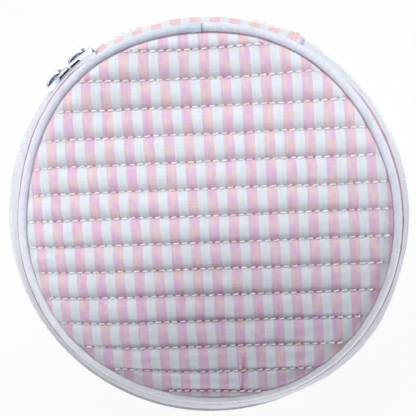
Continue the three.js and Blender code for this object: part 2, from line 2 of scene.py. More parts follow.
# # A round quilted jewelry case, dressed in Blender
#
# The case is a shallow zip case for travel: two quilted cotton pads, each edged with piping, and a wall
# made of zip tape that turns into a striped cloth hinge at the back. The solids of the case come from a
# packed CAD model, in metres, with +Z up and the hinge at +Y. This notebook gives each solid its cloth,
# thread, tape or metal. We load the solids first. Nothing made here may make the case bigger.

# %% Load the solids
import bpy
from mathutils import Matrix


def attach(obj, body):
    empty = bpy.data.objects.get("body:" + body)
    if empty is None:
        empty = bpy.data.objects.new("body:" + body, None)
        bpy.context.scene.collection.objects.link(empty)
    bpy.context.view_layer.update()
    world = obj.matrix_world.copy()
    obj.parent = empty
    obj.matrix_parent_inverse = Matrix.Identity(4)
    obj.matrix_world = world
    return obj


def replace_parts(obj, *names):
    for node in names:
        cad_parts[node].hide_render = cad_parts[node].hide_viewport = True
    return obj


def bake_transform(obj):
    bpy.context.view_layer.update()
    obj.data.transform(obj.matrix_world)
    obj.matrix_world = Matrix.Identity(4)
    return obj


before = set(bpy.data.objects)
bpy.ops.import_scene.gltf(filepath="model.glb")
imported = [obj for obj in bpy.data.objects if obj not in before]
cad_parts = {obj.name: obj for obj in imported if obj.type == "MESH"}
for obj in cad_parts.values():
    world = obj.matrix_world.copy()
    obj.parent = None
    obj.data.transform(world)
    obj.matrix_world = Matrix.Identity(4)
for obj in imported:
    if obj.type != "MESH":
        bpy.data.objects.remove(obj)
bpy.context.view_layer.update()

# %% [markdown]
# ## Sizes that the cloth shares with the solids
#
# The cloth has to lie exactly where its solid lies, so we repeat the few sizes that the case is drawn
# from. They are in millimetres, because that is how a sewing pattern is thought of, and one factor turns
# them into Blender's metres at the last moment. Angles run round the case from +X towards the hinge. Base
# and lid are built alike, so what differs between them is kept in pairs, and a piece only has to be told
# which half it belongs to.

# %% Sizes of the case in millimetres
import math

import bmesh
import bpy
import numpy as np
from mathutils import Matrix, Vector

MM = 0.001
FULL_TURN = 2 * math.pi
BACK = math.pi / 2
FRONT = -math.pi / 2

outward = {"base": -1, "lid": 1}
piping_height = {"base": 4.0, "lid": 27.0}
piping_radius = 69.7
seam_height = 15.5
tape_radius = 75.3
wall_foot_radius = 71.275
wall_foot_rise = 9.45
gusset_half_angle = math.radians(30.4)
zip_start = BACK + gusset_half_angle
zip_end = BACK - gusset_half_angle + FULL_TURN
print("zip runs from", round(math.degrees(zip_start), 1), "to", round(math.degrees(zip_end), 1), "degrees")

# %% [markdown]
# ## The camera
#
# The photograph was taken from straight above and quite near, by a hand that leaned a little over the
# back of the case. A near camera shows itself in the quilting: rows of stitching that are equally far
# apart look closer together towards the front. The camera's place and turn were found by fitting those
# rows, the stripes and the round outline, and they are written here as a place and three turns. There is
# no lens shift, so any other view of the case stays in the middle of its picture too.

# %% Place the camera
camera_place = Vector((0.015336, 0.038194, 0.280))
camera_turns = {"Z": -2.5622, "Y": 2.8254, "X": -7.4214}

camera_data = bpy.data.cameras.new("camera")
camera_data.lens = 60.324
camera_data.sensor_width = 36.0
camera_data.clip_start = 0.01
camera_data.clip_end = 10.0
camera = bpy.data.objects.new("camera", camera_data)
camera_turn = Matrix.Identity(4)
for axis, degrees in camera_turns.items():
    camera_turn = camera_turn @ Matrix.Rotation(math.radians(degrees), 4, axis)
camera.matrix_world = Matrix.Translation(camera_place) @ camera_turn
bpy.context.scene.collection.objects.link(camera)
bpy.context.scene.camera = camera
print("camera is", round(camera.matrix_world.translation.z, 3), "m up")

# %% [markdown]
# ## Helpers for nodes
#
# A finish is a small network of nodes, and so are the floor and the room round the case. Building one by
# hand takes the same few steps each time: add a node, set its values, and join it to others. The helpers
# below do that, so that a network reads as what it is. A value that is a plain number or a colour is
# written on the socket itself, and anything else is a link from another node.

# %% Helpers that add and join nodes
def colour(red, green, blue):
    """A colour from a paint program's 0-255 values, as the linear light that Blender works with."""
    channels = []
    for value in (red, green, blue):
        share = value / 255
        channels.append(share / 12.92 if share <= 0.04045 else ((share + 0.055) / 1.055) ** 2.4)
    return (*channels, 1.0)


class Nodes:
    """A network of nodes, with short calls that add a node and join it to the others."""

    def __init__(self, tree):
        self.tree = tree

    def join(self, source, socket):
        if isinstance(source, (int, float, tuple)):
            socket.default_value = source
        else:
            self.tree.links.new(source, socket)

    def add(self, kind, settings=None, **inputs):
        """A new node, with its settings, and with its inputs set or joined by name."""
        node = self.tree.nodes.new("ShaderNode" + kind)
        for setting, value in (settings or {}).items():
            setattr(node, setting, value)
        for name, source in inputs.items():
            self.join(source, node.inputs[name])
        return node

    def in_order(self, node, *sources):
        """Sets or joins the first inputs of a node, for nodes whose inputs share a name."""
        for source, socket in zip(sources, node.inputs):
            self.join(source, socket)
        return node.outputs[0]

    def maths(self, operation, *values):
        return self.in_order(self.add("Math", {"operation": operation}), *values)

    def ramp(self, value, start, end, low=0.0, high=1.0, kind="LINEAR"):
        """From low to high while the value goes from start to end, and level on both sides."""
        return self.in_order(self.add("MapRange", {"interpolation_type": kind}), value, start, end, low, high)

    def soft_step(self, value, start, end, low=0.0, high=1.0):
        return self.ramp(value, start, end, low, high, "SMOOTHSTEP")

    def two_shaders(self, share, first, second):
        return self.in_order(self.add("MixShader"), share, first, second)


print("grey 188 is", round(colour(188, 188, 188)[0], 3), "in linear light")

# %% [markdown]
# ## Light
#
# In the photograph every channel of the quilting is lit from the back, a little from the left, and the
# front right of the lid is clearly darker. One large soft lamp near the case does this, as a window
# behind it would: a near lamp fades across an object, and a far one would light it evenly. A weak lamp
# right above, long and narrow and turned a little, lights a band across the middle of the lid. Three
# small lamps stand low at the left, the right and the front, because the wall hangs under the piping,
# where the light from above doesn't reach.

# %% Set up the lamps
lid_middle = (0.0, 0.0, 0.02)
wall_middle = (0.0, 0.0, 0.012)
band_middle = (-0.03, 0.018)
band_width = 0.08
band_spread = math.radians(27)
band_turn = math.radians(15)
low_lamp_side = 0.06
low_lamps = {
    "left_lamp": ((-0.42, 0.0, 0.035), 0.30),
    "right_lamp": ((0.42, 0.0, 0.035), 0.46),
    "front_lamp": ((0.08, -0.41, 0.045), 0.82),
}


def add_lamp(name, place, aim, side, watts):
    """A square lamp that lights the case and isn't seen itself, with its place and side in metres."""
    lamp = bpy.data.lights.new(name, "AREA")
    lamp.shape = "SQUARE"
    lamp.size = side
    lamp.energy = watts
    holder = bpy.data.objects.new(name, lamp)
    holder.location = place
    holder.rotation_euler = (Vector(aim) - Vector(place)).to_track_quat("-Z", "Y").to_euler()
    holder.visible_camera = False
    bpy.context.scene.collection.objects.link(holder)
    return holder


add_lamp("window_lamp", place=(-0.11, 0.48, 0.30), aim=lid_middle, side=0.30, watts=1.83)
top_lamp = add_lamp("top_lamp", place=(*band_middle, 0.40), aim=(*band_middle, 0.0), side=0.40, watts=0.060)
top_lamp.data.shape = "RECTANGLE"
top_lamp.data.size_y = band_width
top_lamp.data.spread = band_spread
top_lamp.rotation_euler = (0, 0, band_turn)
for name, (place, watts) in low_lamps.items():
    add_lamp(name, place, wall_middle, low_lamp_side, watts)
print("lamps:", len(bpy.data.lights))

# %% [markdown]
# ## The room round the case
#
# The world fills the shadows with a faint light that is a little blue, as a bright room does. The camera
# and the metal shouldn't see that fill, but a studio: plain white for the camera, and for the metal a
# room that is dark at the height of the floor and pale overhead, which gives a polished curve its dark
# and bright bands. Light Path tells such rays from those that only carry light.

# %% Set up the world
fill_colour = (0.86, 0.89, 1.0, 1)
fill_strength = 0.255
room_white = (1, 1, 1, 1)
level_grey = 0.048
overhead_grey = 0.8

world = bpy.data.worlds.new("studio")
bpy.context.scene.world = world
world.use_nodes = True
room = Nodes(world.node_tree)
room.tree.nodes.clear()
rays = room.add("LightPath").outputs
way = room.add("SeparateXYZ", Vector=room.add("TexCoord").outputs["Generated"])
grey_room = room.ramp(way.outputs["Z"], 0.1, 0.8, level_grey, overhead_grey)
studio_strength = room.maths("MAXIMUM", rays["Is Camera Ray"], grey_room)
studio = room.add("Background", Color=room_white, Strength=studio_strength)
fill = room.add("Background", Color=fill_colour, Strength=fill_strength)
sees_studio = room.maths("MAXIMUM", rays["Is Camera Ray"], rays["Is Glossy Ray"])
room.add("OutputWorld", Surface=room.two_shaders(sees_studio, fill.outputs[0], studio.outputs[0]))
bpy.context.scene.view_settings.view_transform = "Standard"
print("world of", len(room.tree.nodes), "nodes, seen through the Standard view")

# %% [markdown]
# ## The floor
#
# The case lies on a white sheet that runs on out of sight. A floor that only reflects light turns grey
# away from the lamp, so for camera rays most of its colour is plain white light of strength 1, and a
# small share stays an ordinary matt surface, which keeps the shadow under the case. The sliders mirror
# the sheet close beside the wall, where it lies in shade, so glossy rays get much less of the plain
# light.

# %% Lay the floor
floor_reach = 4.0
sheet_grey = (0.9, 0.9, 0.9, 1)
plain_share = 0.92
mirrored_share = 0.3

floor_mesh = bpy.data.meshes.new("floor")
floor_corners = [(-1, -1), (1, -1), (1, 1), (-1, 1)]
floor_mesh.from_pydata([(x * floor_reach, y * floor_reach, 0) for x, y in floor_corners], [], [(0, 1, 2, 3)])
floor = bpy.data.objects.new("floor", floor_mesh)
bpy.context.scene.collection.objects.link(floor)

white_sheet = bpy.data.materials.new("white_sheet")
white_sheet.use_nodes = True
sheet = Nodes(white_sheet.node_tree)
sheet.tree.nodes.clear()
rays = sheet.add("LightPath").outputs
mirrored = sheet.maths("MULTIPLY", rays["Is Glossy Ray"], mirrored_share)
seen = sheet.maths("MAXIMUM", rays["Is Camera Ray"], mirrored)
matt = sheet.add("BsdfDiffuse", Color=sheet_grey)
plain_light = sheet.add("Emission", Strength=1.0)
sheet_surface = sheet.two_shaders(
    sheet.maths("MULTIPLY", seen, plain_share), matt.outputs[0], plain_light.outputs[0])
sheet.add("OutputMaterial", Surface=sheet_surface)
floor_mesh.materials.append(white_sheet)
print("floor laid,", floor_reach * 2, "m wide")

# %% [markdown]
# ## Helpers for finishes
#
# A finish here is a principled shader with a pattern in its colour, its roughness and its bumps. Each
# piece of cloth carries two numbers per point in an attribute called cloth: how far along the cloth the
# point lies and how far across it, in metres. A pattern drawn from these follows the cloth round the wall
# and over the quilting, where a pattern drawn from the place in space would cut through. Some pieces also
# carry a number of painted shade, which darkens the colour where the cloth lies in a fold or a seam.

# %% Helpers that build a finish
class Finish(Nodes):
    """A new finish, with short calls for the patterns that cloth, thread and metal are made of."""

    def __init__(self, name):
        self.material = bpy.data.materials.new(name)
        self.material.use_nodes = True
        super().__init__(self.material.node_tree)
        self.shader = self.tree.nodes["Principled BSDF"]

    def cloth(self):
        """How far along and how far across the cloth, and both at once for noise."""
        place = self.add("Attribute", {"attribute_name": "cloth"}).outputs["Vector"]
        split = self.add("SeparateXYZ", Vector=place)
        return split.outputs[0], split.outputs[1], place

    # The number of painted shade on a piece, from 0 to 1.
    def dip(self):
        return self.add("Attribute", {"attribute_name": "dip"}).outputs["Fac"]

    def in_space(self):
        return self.add("TexCoord").outputs["Object"]

    def noise(self, vector, scale, detail=2.0, roughness=0.5):
        node = self.add("TexNoise", Vector=vector, Scale=scale, Detail=detail, Roughness=roughness)
        return node.outputs["Fac"]

    def long_noise(self, vector, stretch, scale, detail=2.0, roughness=0.5):
        """Noise that is drawn out along one way of the cloth."""
        drawn_out = self.add("Mapping", Vector=vector, Scale=stretch)
        return self.noise(drawn_out.outputs[0], scale, detail, roughness)

    def mix(self, share, first, second, how="MIX"):
        node = self.add("Mix", {"data_type": "RGBA", "blend_type": how})
        colour_sockets = [socket for socket in node.inputs if socket.enabled]
        for source, socket in zip((share, first, second), colour_sockets):
            self.join(source, socket)
        return next(socket for socket in node.outputs if socket.enabled)

    def times(self, base, shade):
        return self.mix(1.0, base, shade, "MULTIPLY")

    def bump(self, height, depth, strength=1.0, under=None):
        node = self.add("Bump", Strength=strength, Distance=depth, Height=height)
        if under is not None:
            self.join(under, node.inputs["Normal"])
        return node.outputs["Normal"]

    def openness(self, reach):
        """1 where the surface is open within this reach, and towards 0 in gaps, where painted shade goes."""
        return self.add("AmbientOcclusion", {"samples": 8}, Distance=reach).outputs["AO"]

    def finish(self, base, roughness, normal, **settings):
        settings |= {"Base_Color": base, "Roughness": roughness, "Normal": normal}
        for name, source in settings.items():
            self.join(source, self.shader.inputs[name.replace("_", " ")])
        return self.material


print("helpers ready for", [name for name in vars(Finish) if not name.startswith("_")])

# %% [markdown]
# ## Woven cotton
#
# Plain cotton is two sets of threads that pass over and under each other. Up close that is a fine
# chequer of small humps, and from a little further it is a surface with faint streaks, because no thread
# is spun perfectly evenly. Two sine waves multiplied give the humps, and noise stretched along the
# threads gives the streaks. Cotton also has a haze of short fibres, which sheen stands for.

# %% Weave and streaks that every cotton here shares
striped_thread_pitch = 0.36


def plain_weave(cotton, along, across, thread):
    """Humps of a plain weave, from 0 to 1, for threads this far apart."""
    turn = math.pi / (thread * MM)
    one_way = cotton.maths("SINE", cotton.maths("MULTIPLY", along, turn))
    other_way = cotton.maths("SINE", cotton.maths("MULTIPLY", across, turn))
    crossing = cotton.maths("MULTIPLY", one_way, other_way)
    return cotton.maths("MULTIPLY_ADD", crossing, 0.5, 0.5)


def thread_streaks(cotton, cloth_vector):
    """Uneven threads: long thin streaks across the cloth, and fainter ones along it."""
    up = cotton.long_noise(cloth_vector, (1.0, 0.035, 1.0), 2600, 3.0, 0.6)
    over = cotton.long_noise(cloth_vector, (0.05, 1.0, 1.0), 2200, 2.0, 0.5)
    return cotton.maths("MULTIPLY_ADD", over, 0.35, cotton.maths("MULTIPLY", up, 0.65))


print("a thread of the striped cotton every", striped_thread_pitch, "mm")

# %% [markdown]
# ## Striped cotton
#
# The cloth of the case is woven in pink and white stripes, each about 3.6 mm wide. The edge between two
# stripes isn't a clean line: each crossing thread carries the colour a little further or less far, and
# the pink itself drifts between peach and lilac, with a little more lilac towards the front. So the
# stripe is drawn with a short soft edge that a fine noise pushes to and fro. Where a piece carries painted
# shade, in its seams, needle holes, creases and folds, the colour is multiplied towards a dusky pink.

# %% Make the striped cottons
stripe_softness = 0.035
# The dusky pink that painted shade multiplies the cloth's colour by.
painted_shade_pink = colour(166, 128, 150)


def striped_cotton(name, repeat, middle, pink_share, warm_pink, cool_pink, white):
    """Stripes that repeat every so many mm. middle is where the middle of one pink stripe lies."""
    cotton = Finish(name)
    along, across, cloth_vector = cotton.cloth()
    wander = cotton.long_noise(cloth_vector, (0.4, 1.0, 1.0), 90)
    ragged = cotton.long_noise(cloth_vector, (0.6, 1.0, 1.0), 1500)
    moved = cotton.maths("MULTIPLY_ADD", cotton.maths("SUBTRACT", wander, 0.5), 0.9 * MM, along)
    moved = cotton.maths("MULTIPLY_ADD", cotton.maths("SUBTRACT", ragged, 0.5), 0.55 * MM, moved)
    turns = cotton.maths("DIVIDE", cotton.maths("SUBTRACT", moved, middle * MM), repeat * MM)
    from_pink = cotton.maths("ABSOLUTE", cotton.maths("SUBTRACT", turns, cotton.maths("ROUND", turns)))
    edge = pink_share / 2
    is_white = cotton.soft_step(from_pink, edge - stripe_softness, edge + stripe_softness)

    slow = cotton.noise(cloth_vector, 95, 3.0, 0.6)
    quick = cotton.long_noise(cloth_vector, (1.0, 0.6, 1.0), 340, 1.0)
    blotches = cotton.maths("MULTIPLY_ADD", quick, 0.55, cotton.maths("MULTIPLY", slow, 0.45))
    more_lilac = cotton.soft_step(across, -60 * MM, 10 * MM, 0.05, 0.0)
    drift = cotton.soft_step(cotton.maths("ADD", blotches, more_lilac), 0.4, 0.6)
    mottle = cotton.long_noise(cloth_vector, (1.0, 0.3, 1.0), 420)
    pink = cotton.mix(drift, warm_pink, cool_pink)
    pink = cotton.mix(cotton.soft_step(mottle, 0.35, 0.75, 0.0, 0.25), pink, white)

    streak = thread_streaks(cotton, cloth_vector)
    base = cotton.mix(is_white, pink, white)
    base = cotton.times(base, cotton.soft_step(streak, 0.25, 0.75, 0.90, 1.05))
    # Painted shade: the colour is multiplied towards a dusky pink by the number of painted shade.
    base = cotton.mix(cotton.dip(), base, cotton.times(base, painted_shade_pink))
    humps = plain_weave(cotton, along, across, striped_thread_pitch)
    normal = cotton.bump(humps, 0.00007, 0.6, cotton.bump(streak, 0.00012, 0.5))
    roughness = cotton.soft_step(streak, 0.2, 0.8, 0.78, 0.92)
    return cotton.finish(base, roughness, normal, Sheen_Weight=0.18, Sheen_Roughness=0.45,
                         Specular_IOR_Level=0.25)


quilted_cotton = striped_cotton(
    "quilted_cotton", repeat=7.14, middle=3.6, pink_share=0.52,
    warm_pink=colour(240, 211, 211), cool_pink=colour(233, 194, 225), white=colour(232, 238, 243))
gusset_cotton = striped_cotton(
    "gusset_cotton", repeat=7.35, middle=-0.55, pink_share=0.53,
    warm_pink=colour(240, 203, 201), cool_pink=colour(236, 199, 207), white=colour(230, 232, 235))
print("made", quilted_cotton.name, "and", gusset_cotton.name)

# %% [markdown]
# ## Piping cotton and lining cotton
#
# The piping is covered in a smoother, closer cotton of a pale lilac white. It is cut on the bias, so its
# threads run slantwise round the cord. Its colour carries painted light and shade: it is painted whitest
# along the front, greyer at the back and greyest for a stretch beside the join where its two ends meet,
# so its tone follows the length along the cord. The lining is a plain pale pink, and the strip in the
# seams is the same weave in a darker pink, which is partly painted shade of the crease it lies in.

# %% Make the plain cottons
# Painted shade beside the join, and painted light at the front that turns to painted shade at the back, in
# mm.
lap_shade_length = 55.0
painted_light_reach = 50.0
painted_shade_start = 125.0


def piping_cloth(name, join_painted_shade, back_painted_shade, front_painted_light):
    """Bias-cut cotton over cord, with painted light along the front and painted shade at the back and by the
    join.
    """
    cotton = Finish(name)
    along, across, cloth_vector = cotton.cloth()
    slanted = cotton.maths("ADD", along, across)
    other_slant = cotton.maths("SUBTRACT", along, across)
    humps = plain_weave(cotton, slanted, other_slant, 0.34)
    from_front = cotton.maths("ABSOLUTE", cotton.maths("SUBTRACT", along, math.pi * piping_radius * MM))
    # Painted light and shade: whiter at the front, greyer at the back and beside the join.
    tone = cotton.mix(cotton.soft_step(from_front, painted_light_reach * MM, painted_shade_start * MM), front_painted_light, back_painted_shade)
    tone = cotton.mix(cotton.soft_step(along, 0.0, lap_shade_length * MM), join_painted_shade, tone)
    cloudy = cotton.noise(cloth_vector, 160, 3.0)
    base = cotton.times(tone, cotton.soft_step(cloudy, 0.3, 0.7, 0.98, 1.02))
    streak = cotton.long_noise(cloth_vector, (1.0, 0.5, 1.0), 900, 3.0)
    base = cotton.times(base, cotton.soft_step(streak, 0.3, 0.7, 0.96, 1.04))
    # Painted shade in the fold at the join, from the number of painted shade on the points.
    base = cotton.times(base, cotton.soft_step(cotton.dip(), 0.0, 1.0, 1.0, 0.5))
    creases = cotton.long_noise(cloth_vector, (1.0, 0.25, 1.0), 330)
    soft = cotton.bump(creases, 0.0006, 0.6)
    soft = cotton.bump(cotton.noise(cloth_vector, 1100), 0.00022, 0.6, soft)
    normal = cotton.bump(humps, 0.00006, 0.5, soft)
    return cotton.finish(base, 0.8, normal, Sheen_Weight=0.15, Sheen_Roughness=0.4, Specular_IOR_Level=0.3)


def lining_cloth(name, tone, shade_tone):
    cotton = Finish(name)
    along, across, cloth_vector = cotton.cloth()
    streak = thread_streaks(cotton, cloth_vector)
    cloudy = cotton.noise(cloth_vector, 60, 3.0)
    base = cotton.mix(cotton.soft_step(cloudy, 0.3, 0.7), tone, shade_tone)
    base = cotton.times(base, cotton.soft_step(streak, 0.25, 0.75, 0.93, 1.03))
    creases = cotton.bump(cotton.noise(cloth_vector, 140), 0.0006, 0.45)
    normal = cotton.bump(plain_weave(cotton, along, across, 0.32), 0.00006, 0.55, creases)
    return cotton.finish(base, 0.84, normal, Sheen_Weight=0.2, Sheen_Roughness=0.4, Specular_IOR_Level=0.25)


piping_cotton = piping_cloth("piping_cotton", join_painted_shade=colour(216, 228, 238), back_painted_shade=colour(230, 234, 245),
                             front_painted_light=colour(250, 253, 255))
# The seam strip's darker pink is partly painted shade of the crease between piping and tape.
seam_cotton = lining_cloth("seam_cotton", colour(204, 172, 188), colour(176, 141, 158))
lining_cotton = lining_cloth("lining_cotton", colour(246, 221, 230), colour(241, 213, 226))
print("made", piping_cotton.name, seam_cotton.name, "and", lining_cotton.name)

# %% [markdown]
# ## Tape and thread
#
# The tape of the zip is woven in a herringbone: slanting lines that turn back every few millimetres. A
# triangle wave across the tape, added to the length along it, draws such lines, and the elastic of the
# pockets is woven the same way. The thread of the quilting is cream, and its plies are twisted round each
# other, which a wave over the length and the width of the thread draws as slanting lines.

# %% Make the tape and the thread
herringbone_column = 2.3
herringbone_pitch = 1.15
ply_pitch = 0.5


def herringbone_tape(name, light, dark):
    tape = Finish(name)
    along, across, cloth_vector = tape.cloth()
    back_and_forth = tape.maths("PINGPONG", across, herringbone_column * MM)
    slant = tape.maths("ADD", along, back_and_forth)
    wave = tape.maths("SINE", tape.maths("MULTIPLY", slant, FULL_TURN / (herringbone_pitch * MM)))
    ridge = tape.maths("MULTIPLY_ADD", wave, 0.5, 0.5)
    share = tape.maths("DIVIDE", back_and_forth, herringbone_column * MM)
    turnings = tape.maths("ABSOLUTE", tape.maths("SUBTRACT", share, 0.5))
    cord_line = tape.soft_step(turnings, 0.42, 0.5)
    yarn = tape.noise(cloth_vector, 3000)
    woven = tape.maths("MULTIPLY_ADD", yarn, 0.35, tape.maths("MULTIPLY", ridge, 0.65))
    base = tape.mix(tape.soft_step(woven, 0.25, 0.7), dark, light)
    base = tape.mix(tape.maths("MULTIPLY", cord_line, 0.25), base, dark)
    relief = tape.maths("SUBTRACT", woven, tape.maths("MULTIPLY", cord_line, 0.5))
    normal = tape.bump(relief, 0.00022, 0.7)
    roughness = tape.soft_step(woven, 0.2, 0.8, 0.72, 0.55)
    return tape.finish(base, roughness, normal, Sheen_Weight=0.1, Sheen_Roughness=0.35,
                       Specular_IOR_Level=0.35)


def twisted_thread(name, tone, shade_tone):
    thread = Finish(name)
    along, across, cloth_vector = thread.cloth()
    slant = thread.maths("ADD", along, across)
    wave = thread.maths("SINE", thread.maths("MULTIPLY", slant, FULL_TURN / (ply_pitch * MM)))
    ply = thread.maths("MULTIPLY_ADD", wave, 0.5, 0.5)
    fibres = thread.noise(cloth_vector, 5200)
    base = thread.mix(thread.soft_step(ply, 0.0, 0.55), shade_tone, tone)
    base = thread.times(base, thread.soft_step(fibres, 0.3, 0.7, 0.94, 1.03))
    normal = thread.bump(ply, 0.00009, 0.7)
    return thread.finish(base, 0.6, normal, Sheen_Weight=0.15, Sheen_Roughness=0.3, Specular_IOR_Level=0.4)


zip_tape = herringbone_tape("zip_tape", colour(240, 242, 248), colour(208, 212, 222))
elastic_edge = herringbone_tape("elastic_edge", colour(247, 240, 244), colour(228, 214, 222))
quilting_thread = twisted_thread("quilting_thread", colour(255, 255, 253), colour(246, 245, 241))
print("made", zip_tape.name, elastic_edge.name, "and", quilting_thread.name)

# %% [markdown]
# ## Teeth, metal and card
#
# The teeth are moulded from white plastic with a satin skin, the sliders are nickel plated castings, and
# the pads are stiffened with card. Plated castings are never perfectly smooth: the plate shows soft
# waves of the casting under it and fine handling scratches, which blur a reflection in streaks. Between
# the parts of a slider lie narrow gaps, and painted shade darkens the metal's colour where something
# stands close in front of it, which the ambient occlusion node measures.

# %% Make the plastic, the nickel and the card
gap_reach = 1.6


def moulded_teeth(name):
    plastic = Finish(name)
    place = plastic.in_space()
    flow = plastic.noise(place, 900, 3.0)
    base = plastic.mix(plastic.soft_step(flow, 0.3, 0.7), colour(214, 219, 220), colour(232, 236, 236))
    normal = plastic.bump(plastic.noise(place, 2600), 0.00005, 0.35)
    roughness = plastic.soft_step(flow, 0.3, 0.7, 0.36, 0.5)
    return plastic.finish(base, roughness, normal, Specular_IOR_Level=0.45)


def nickel_plate(name):
    metal = Finish(name)
    place = metal.in_space()
    casting = metal.noise(place, 420, 3.0)
    scratches = metal.long_noise(place, (1.0, 1.0, 0.06), 5200)
    tarnish = metal.noise(place, 260, 4.0, 0.6)
    plated = metal.mix(metal.soft_step(tarnish, 0.4, 0.75), colour(222, 228, 246), colour(190, 196, 216))
    # Painted shade: the colour is darkened where the ambient occlusion node finds something close.
    base = metal.times(plated, metal.soft_step(metal.openness(gap_reach * MM), 0.3, 0.95, 0.1, 1.0))
    waves = metal.bump(casting, 0.0001, 0.3)
    normal = metal.bump(scratches, 0.000004, 0.3, waves)
    roughness = metal.soft_step(scratches, 0.3, 0.75, 0.36, 0.46)
    return metal.finish(base, roughness, normal, Metallic=1.0)


def stiff_card(name):
    card = Finish(name)
    place = card.in_space()
    fibres = card.long_noise(place, (1.0, 0.15, 1.0), 1800, 4.0, 0.7)
    specks = card.noise(place, 3200)
    base = card.mix(card.soft_step(fibres, 0.35, 0.65), colour(214, 205, 190), colour(196, 184, 165))
    base = card.mix(card.soft_step(specks, 0.66, 0.72, 0.0, 0.5), base, colour(150, 132, 110))
    normal = card.bump(fibres, 0.0001, 0.5)
    return card.finish(base, 0.9, normal, Specular_IOR_Level=0.2)


zip_teeth = moulded_teeth("zip_teeth")
nickel = nickel_plate("nickel")
stiffener = stiff_card("stiffener")
print("made", zip_teeth.name, nickel.name, "and", stiffener.name)

# %% [markdown]
# ## Helpers that build cloth
#
# Nearly every piece here is a skin over rows of points: a piping is a row of small circles carried round
# the case, and a lining is a row of rings that grow from the middle out. One helper joins such rows into
# a closed mesh. It also writes the cloth attribute on the corners of the faces, and not on the points,
# because on a piece that closes on itself the first and the last row share their points but not their
# place along the cloth.

# %% Helpers that turn rows of points into a closed piece
def around_case(radius, angle, height):
    """Points from a radius, an angle and a height round the middle of the case."""
    radius, angle, height = np.broadcast_arrays(radius, angle, height)
    return np.stack([radius * np.cos(angle), radius * np.sin(angle), height], axis=-1)


def walked(points, axis):
    """How far along an axis of a grid each point is, in mm, with the closing step at the end."""
    closed = np.concatenate([points, points.take([0], axis=axis)], axis=axis)
    steps = np.linalg.norm(np.diff(closed, axis=axis), axis=2).mean(axis=1 - axis)
    return np.concatenate([[0.0], np.cumsum(steps)])


def join_up(name, points, faces, places, body, finish, dip=None, sharp=55):
    """Makes the object: mesh, cloth attribute, outward faces, smooth shading, body and finish."""
    mesh = bpy.data.meshes.new(name)
    mesh.from_pydata((np.asarray(points) * MM).tolist(), [], [tuple(int(i) for i in face) for face in faces])
    flat = np.zeros((len(mesh.loops), 3))
    flat[:, :2] = np.asarray(places) * MM
    mesh.attributes.new("cloth", "FLOAT_VECTOR", "CORNER").data.foreach_set("vector", flat.ravel())
    if dip is not None:
        mesh.attributes.new("dip", "FLOAT", "POINT").data.foreach_set("value", np.clip(dip, 0, 1).ravel())
    editing = bmesh.new()
    editing.from_mesh(mesh)
    bmesh.ops.recalc_face_normals(editing, faces=editing.faces)
    editing.to_mesh(mesh)
    editing.free()
    mesh.shade_smooth()
    mesh.set_sharp_from_angle(angle=math.radians(sharp))
    mesh.materials.append(finish)
    piece = bpy.data.objects.new(name, mesh)
    bpy.context.scene.collection.objects.link(piece)
    if body is not None:
        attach(piece, body)
    return piece


def skin(name, points, body, finish, cloth=None, loop=False, dip=None, sharp=55):
    """A closed mesh over rows of closed outlines. A loop joins its last row to its first, and any other
    piece is closed by its first and last outline. cloth gives (along, across) in mm for each point."""
    rows, columns = points.shape[:2]
    index = np.arange(rows * columns).reshape(rows, columns)
    if cloth is None:
        cloth = np.stack(np.broadcast_arrays(walked(points, 0)[:, None], walked(points, 1)[None, :]), axis=-1)
    else:
        cloth = np.concatenate([cloth, cloth[:1]], axis=0)
        cloth = np.concatenate([cloth, cloth[:, :1]], axis=1)
    faces = []
    places = []
    for row in range(rows if loop else rows - 1):
        after = (row + 1) % rows
        for column in range(columns):
            beside = (column + 1) % columns
            faces.append((index[row, column], index[after, column], index[after, beside], index[row, beside]))
            places.extend((cloth[row, column], cloth[row + 1, column],
                           cloth[row + 1, column + 1], cloth[row, column + 1]))
    if not loop:
        for row in (0, rows - 1):
            faces.append(tuple(index[row]))
            places.extend(cloth[row, :columns])
    return join_up(name, points.reshape(-1, 3), faces, places, body, finish, dip, sharp)


four_points = around_case(1, FULL_TURN * np.arange(4) / 4, 0)
print("four points on a circle, walked in mm:", walked(four_points[None], 1).round(2))

# %% [markdown]
# ## Helpers that make it uneven
#
# Nothing sewn is quite even. A sum of slow sine waves in many directions looks like the unevenness of
# cloth, and since its directions come from a dice with a fixed seed, each run gives the same case. An
# eased step takes a value smoothly from 0 to 1. The lid doesn't lie exactly over the base either: its
# edge sits about a millimetre towards the hinge and the right and isn't a true circle, and every piece
# of the lid is moved along with it. The middle of the lid is stiff and stays where it is.

# %% Helpers for waves, eased steps and the lid as it lies
lid_edge_waves = {0: (-0.44, 0), 1: (0.87, 1.19), 2: (-0.12, -0.3), 3: (0.04, -0.44), 4: (-0.44, 0.13),
                  5: (0.15, -0.22), 6: (0.14, 0.11)}
lid_edge_height = 25.0
stiff_radius = 54
loose_radius = 67.5


def soft_waves(x, y, wavelength, seed, stretch=1.0, count=16):
    """Slow uneven waves between about -1 and 1, the same on every run. stretch lengthens them in y."""
    dice = np.random.default_rng(seed)
    turn = dice.uniform(0, FULL_TURN, count)
    start = dice.uniform(0, FULL_TURN, count)
    size = wavelength * dice.uniform(0.7, 1.5, count)
    total = 0
    for way, first, long in zip(turn, start, size):
        total = total + np.sin(FULL_TURN * (x * math.cos(way) + y * math.sin(way) / stretch) / long + first)
    return total / math.sqrt(2.0 * count)


def eased(value, start, end):
    share = np.clip((value - start) / (end - start), 0, 1)
    return share * share * (3 - 2 * share)


def bell(value, middle, width):
    """1 at the middle, and soon nothing on both sides."""
    return np.exp(-(((value - middle) / width) ** 2))


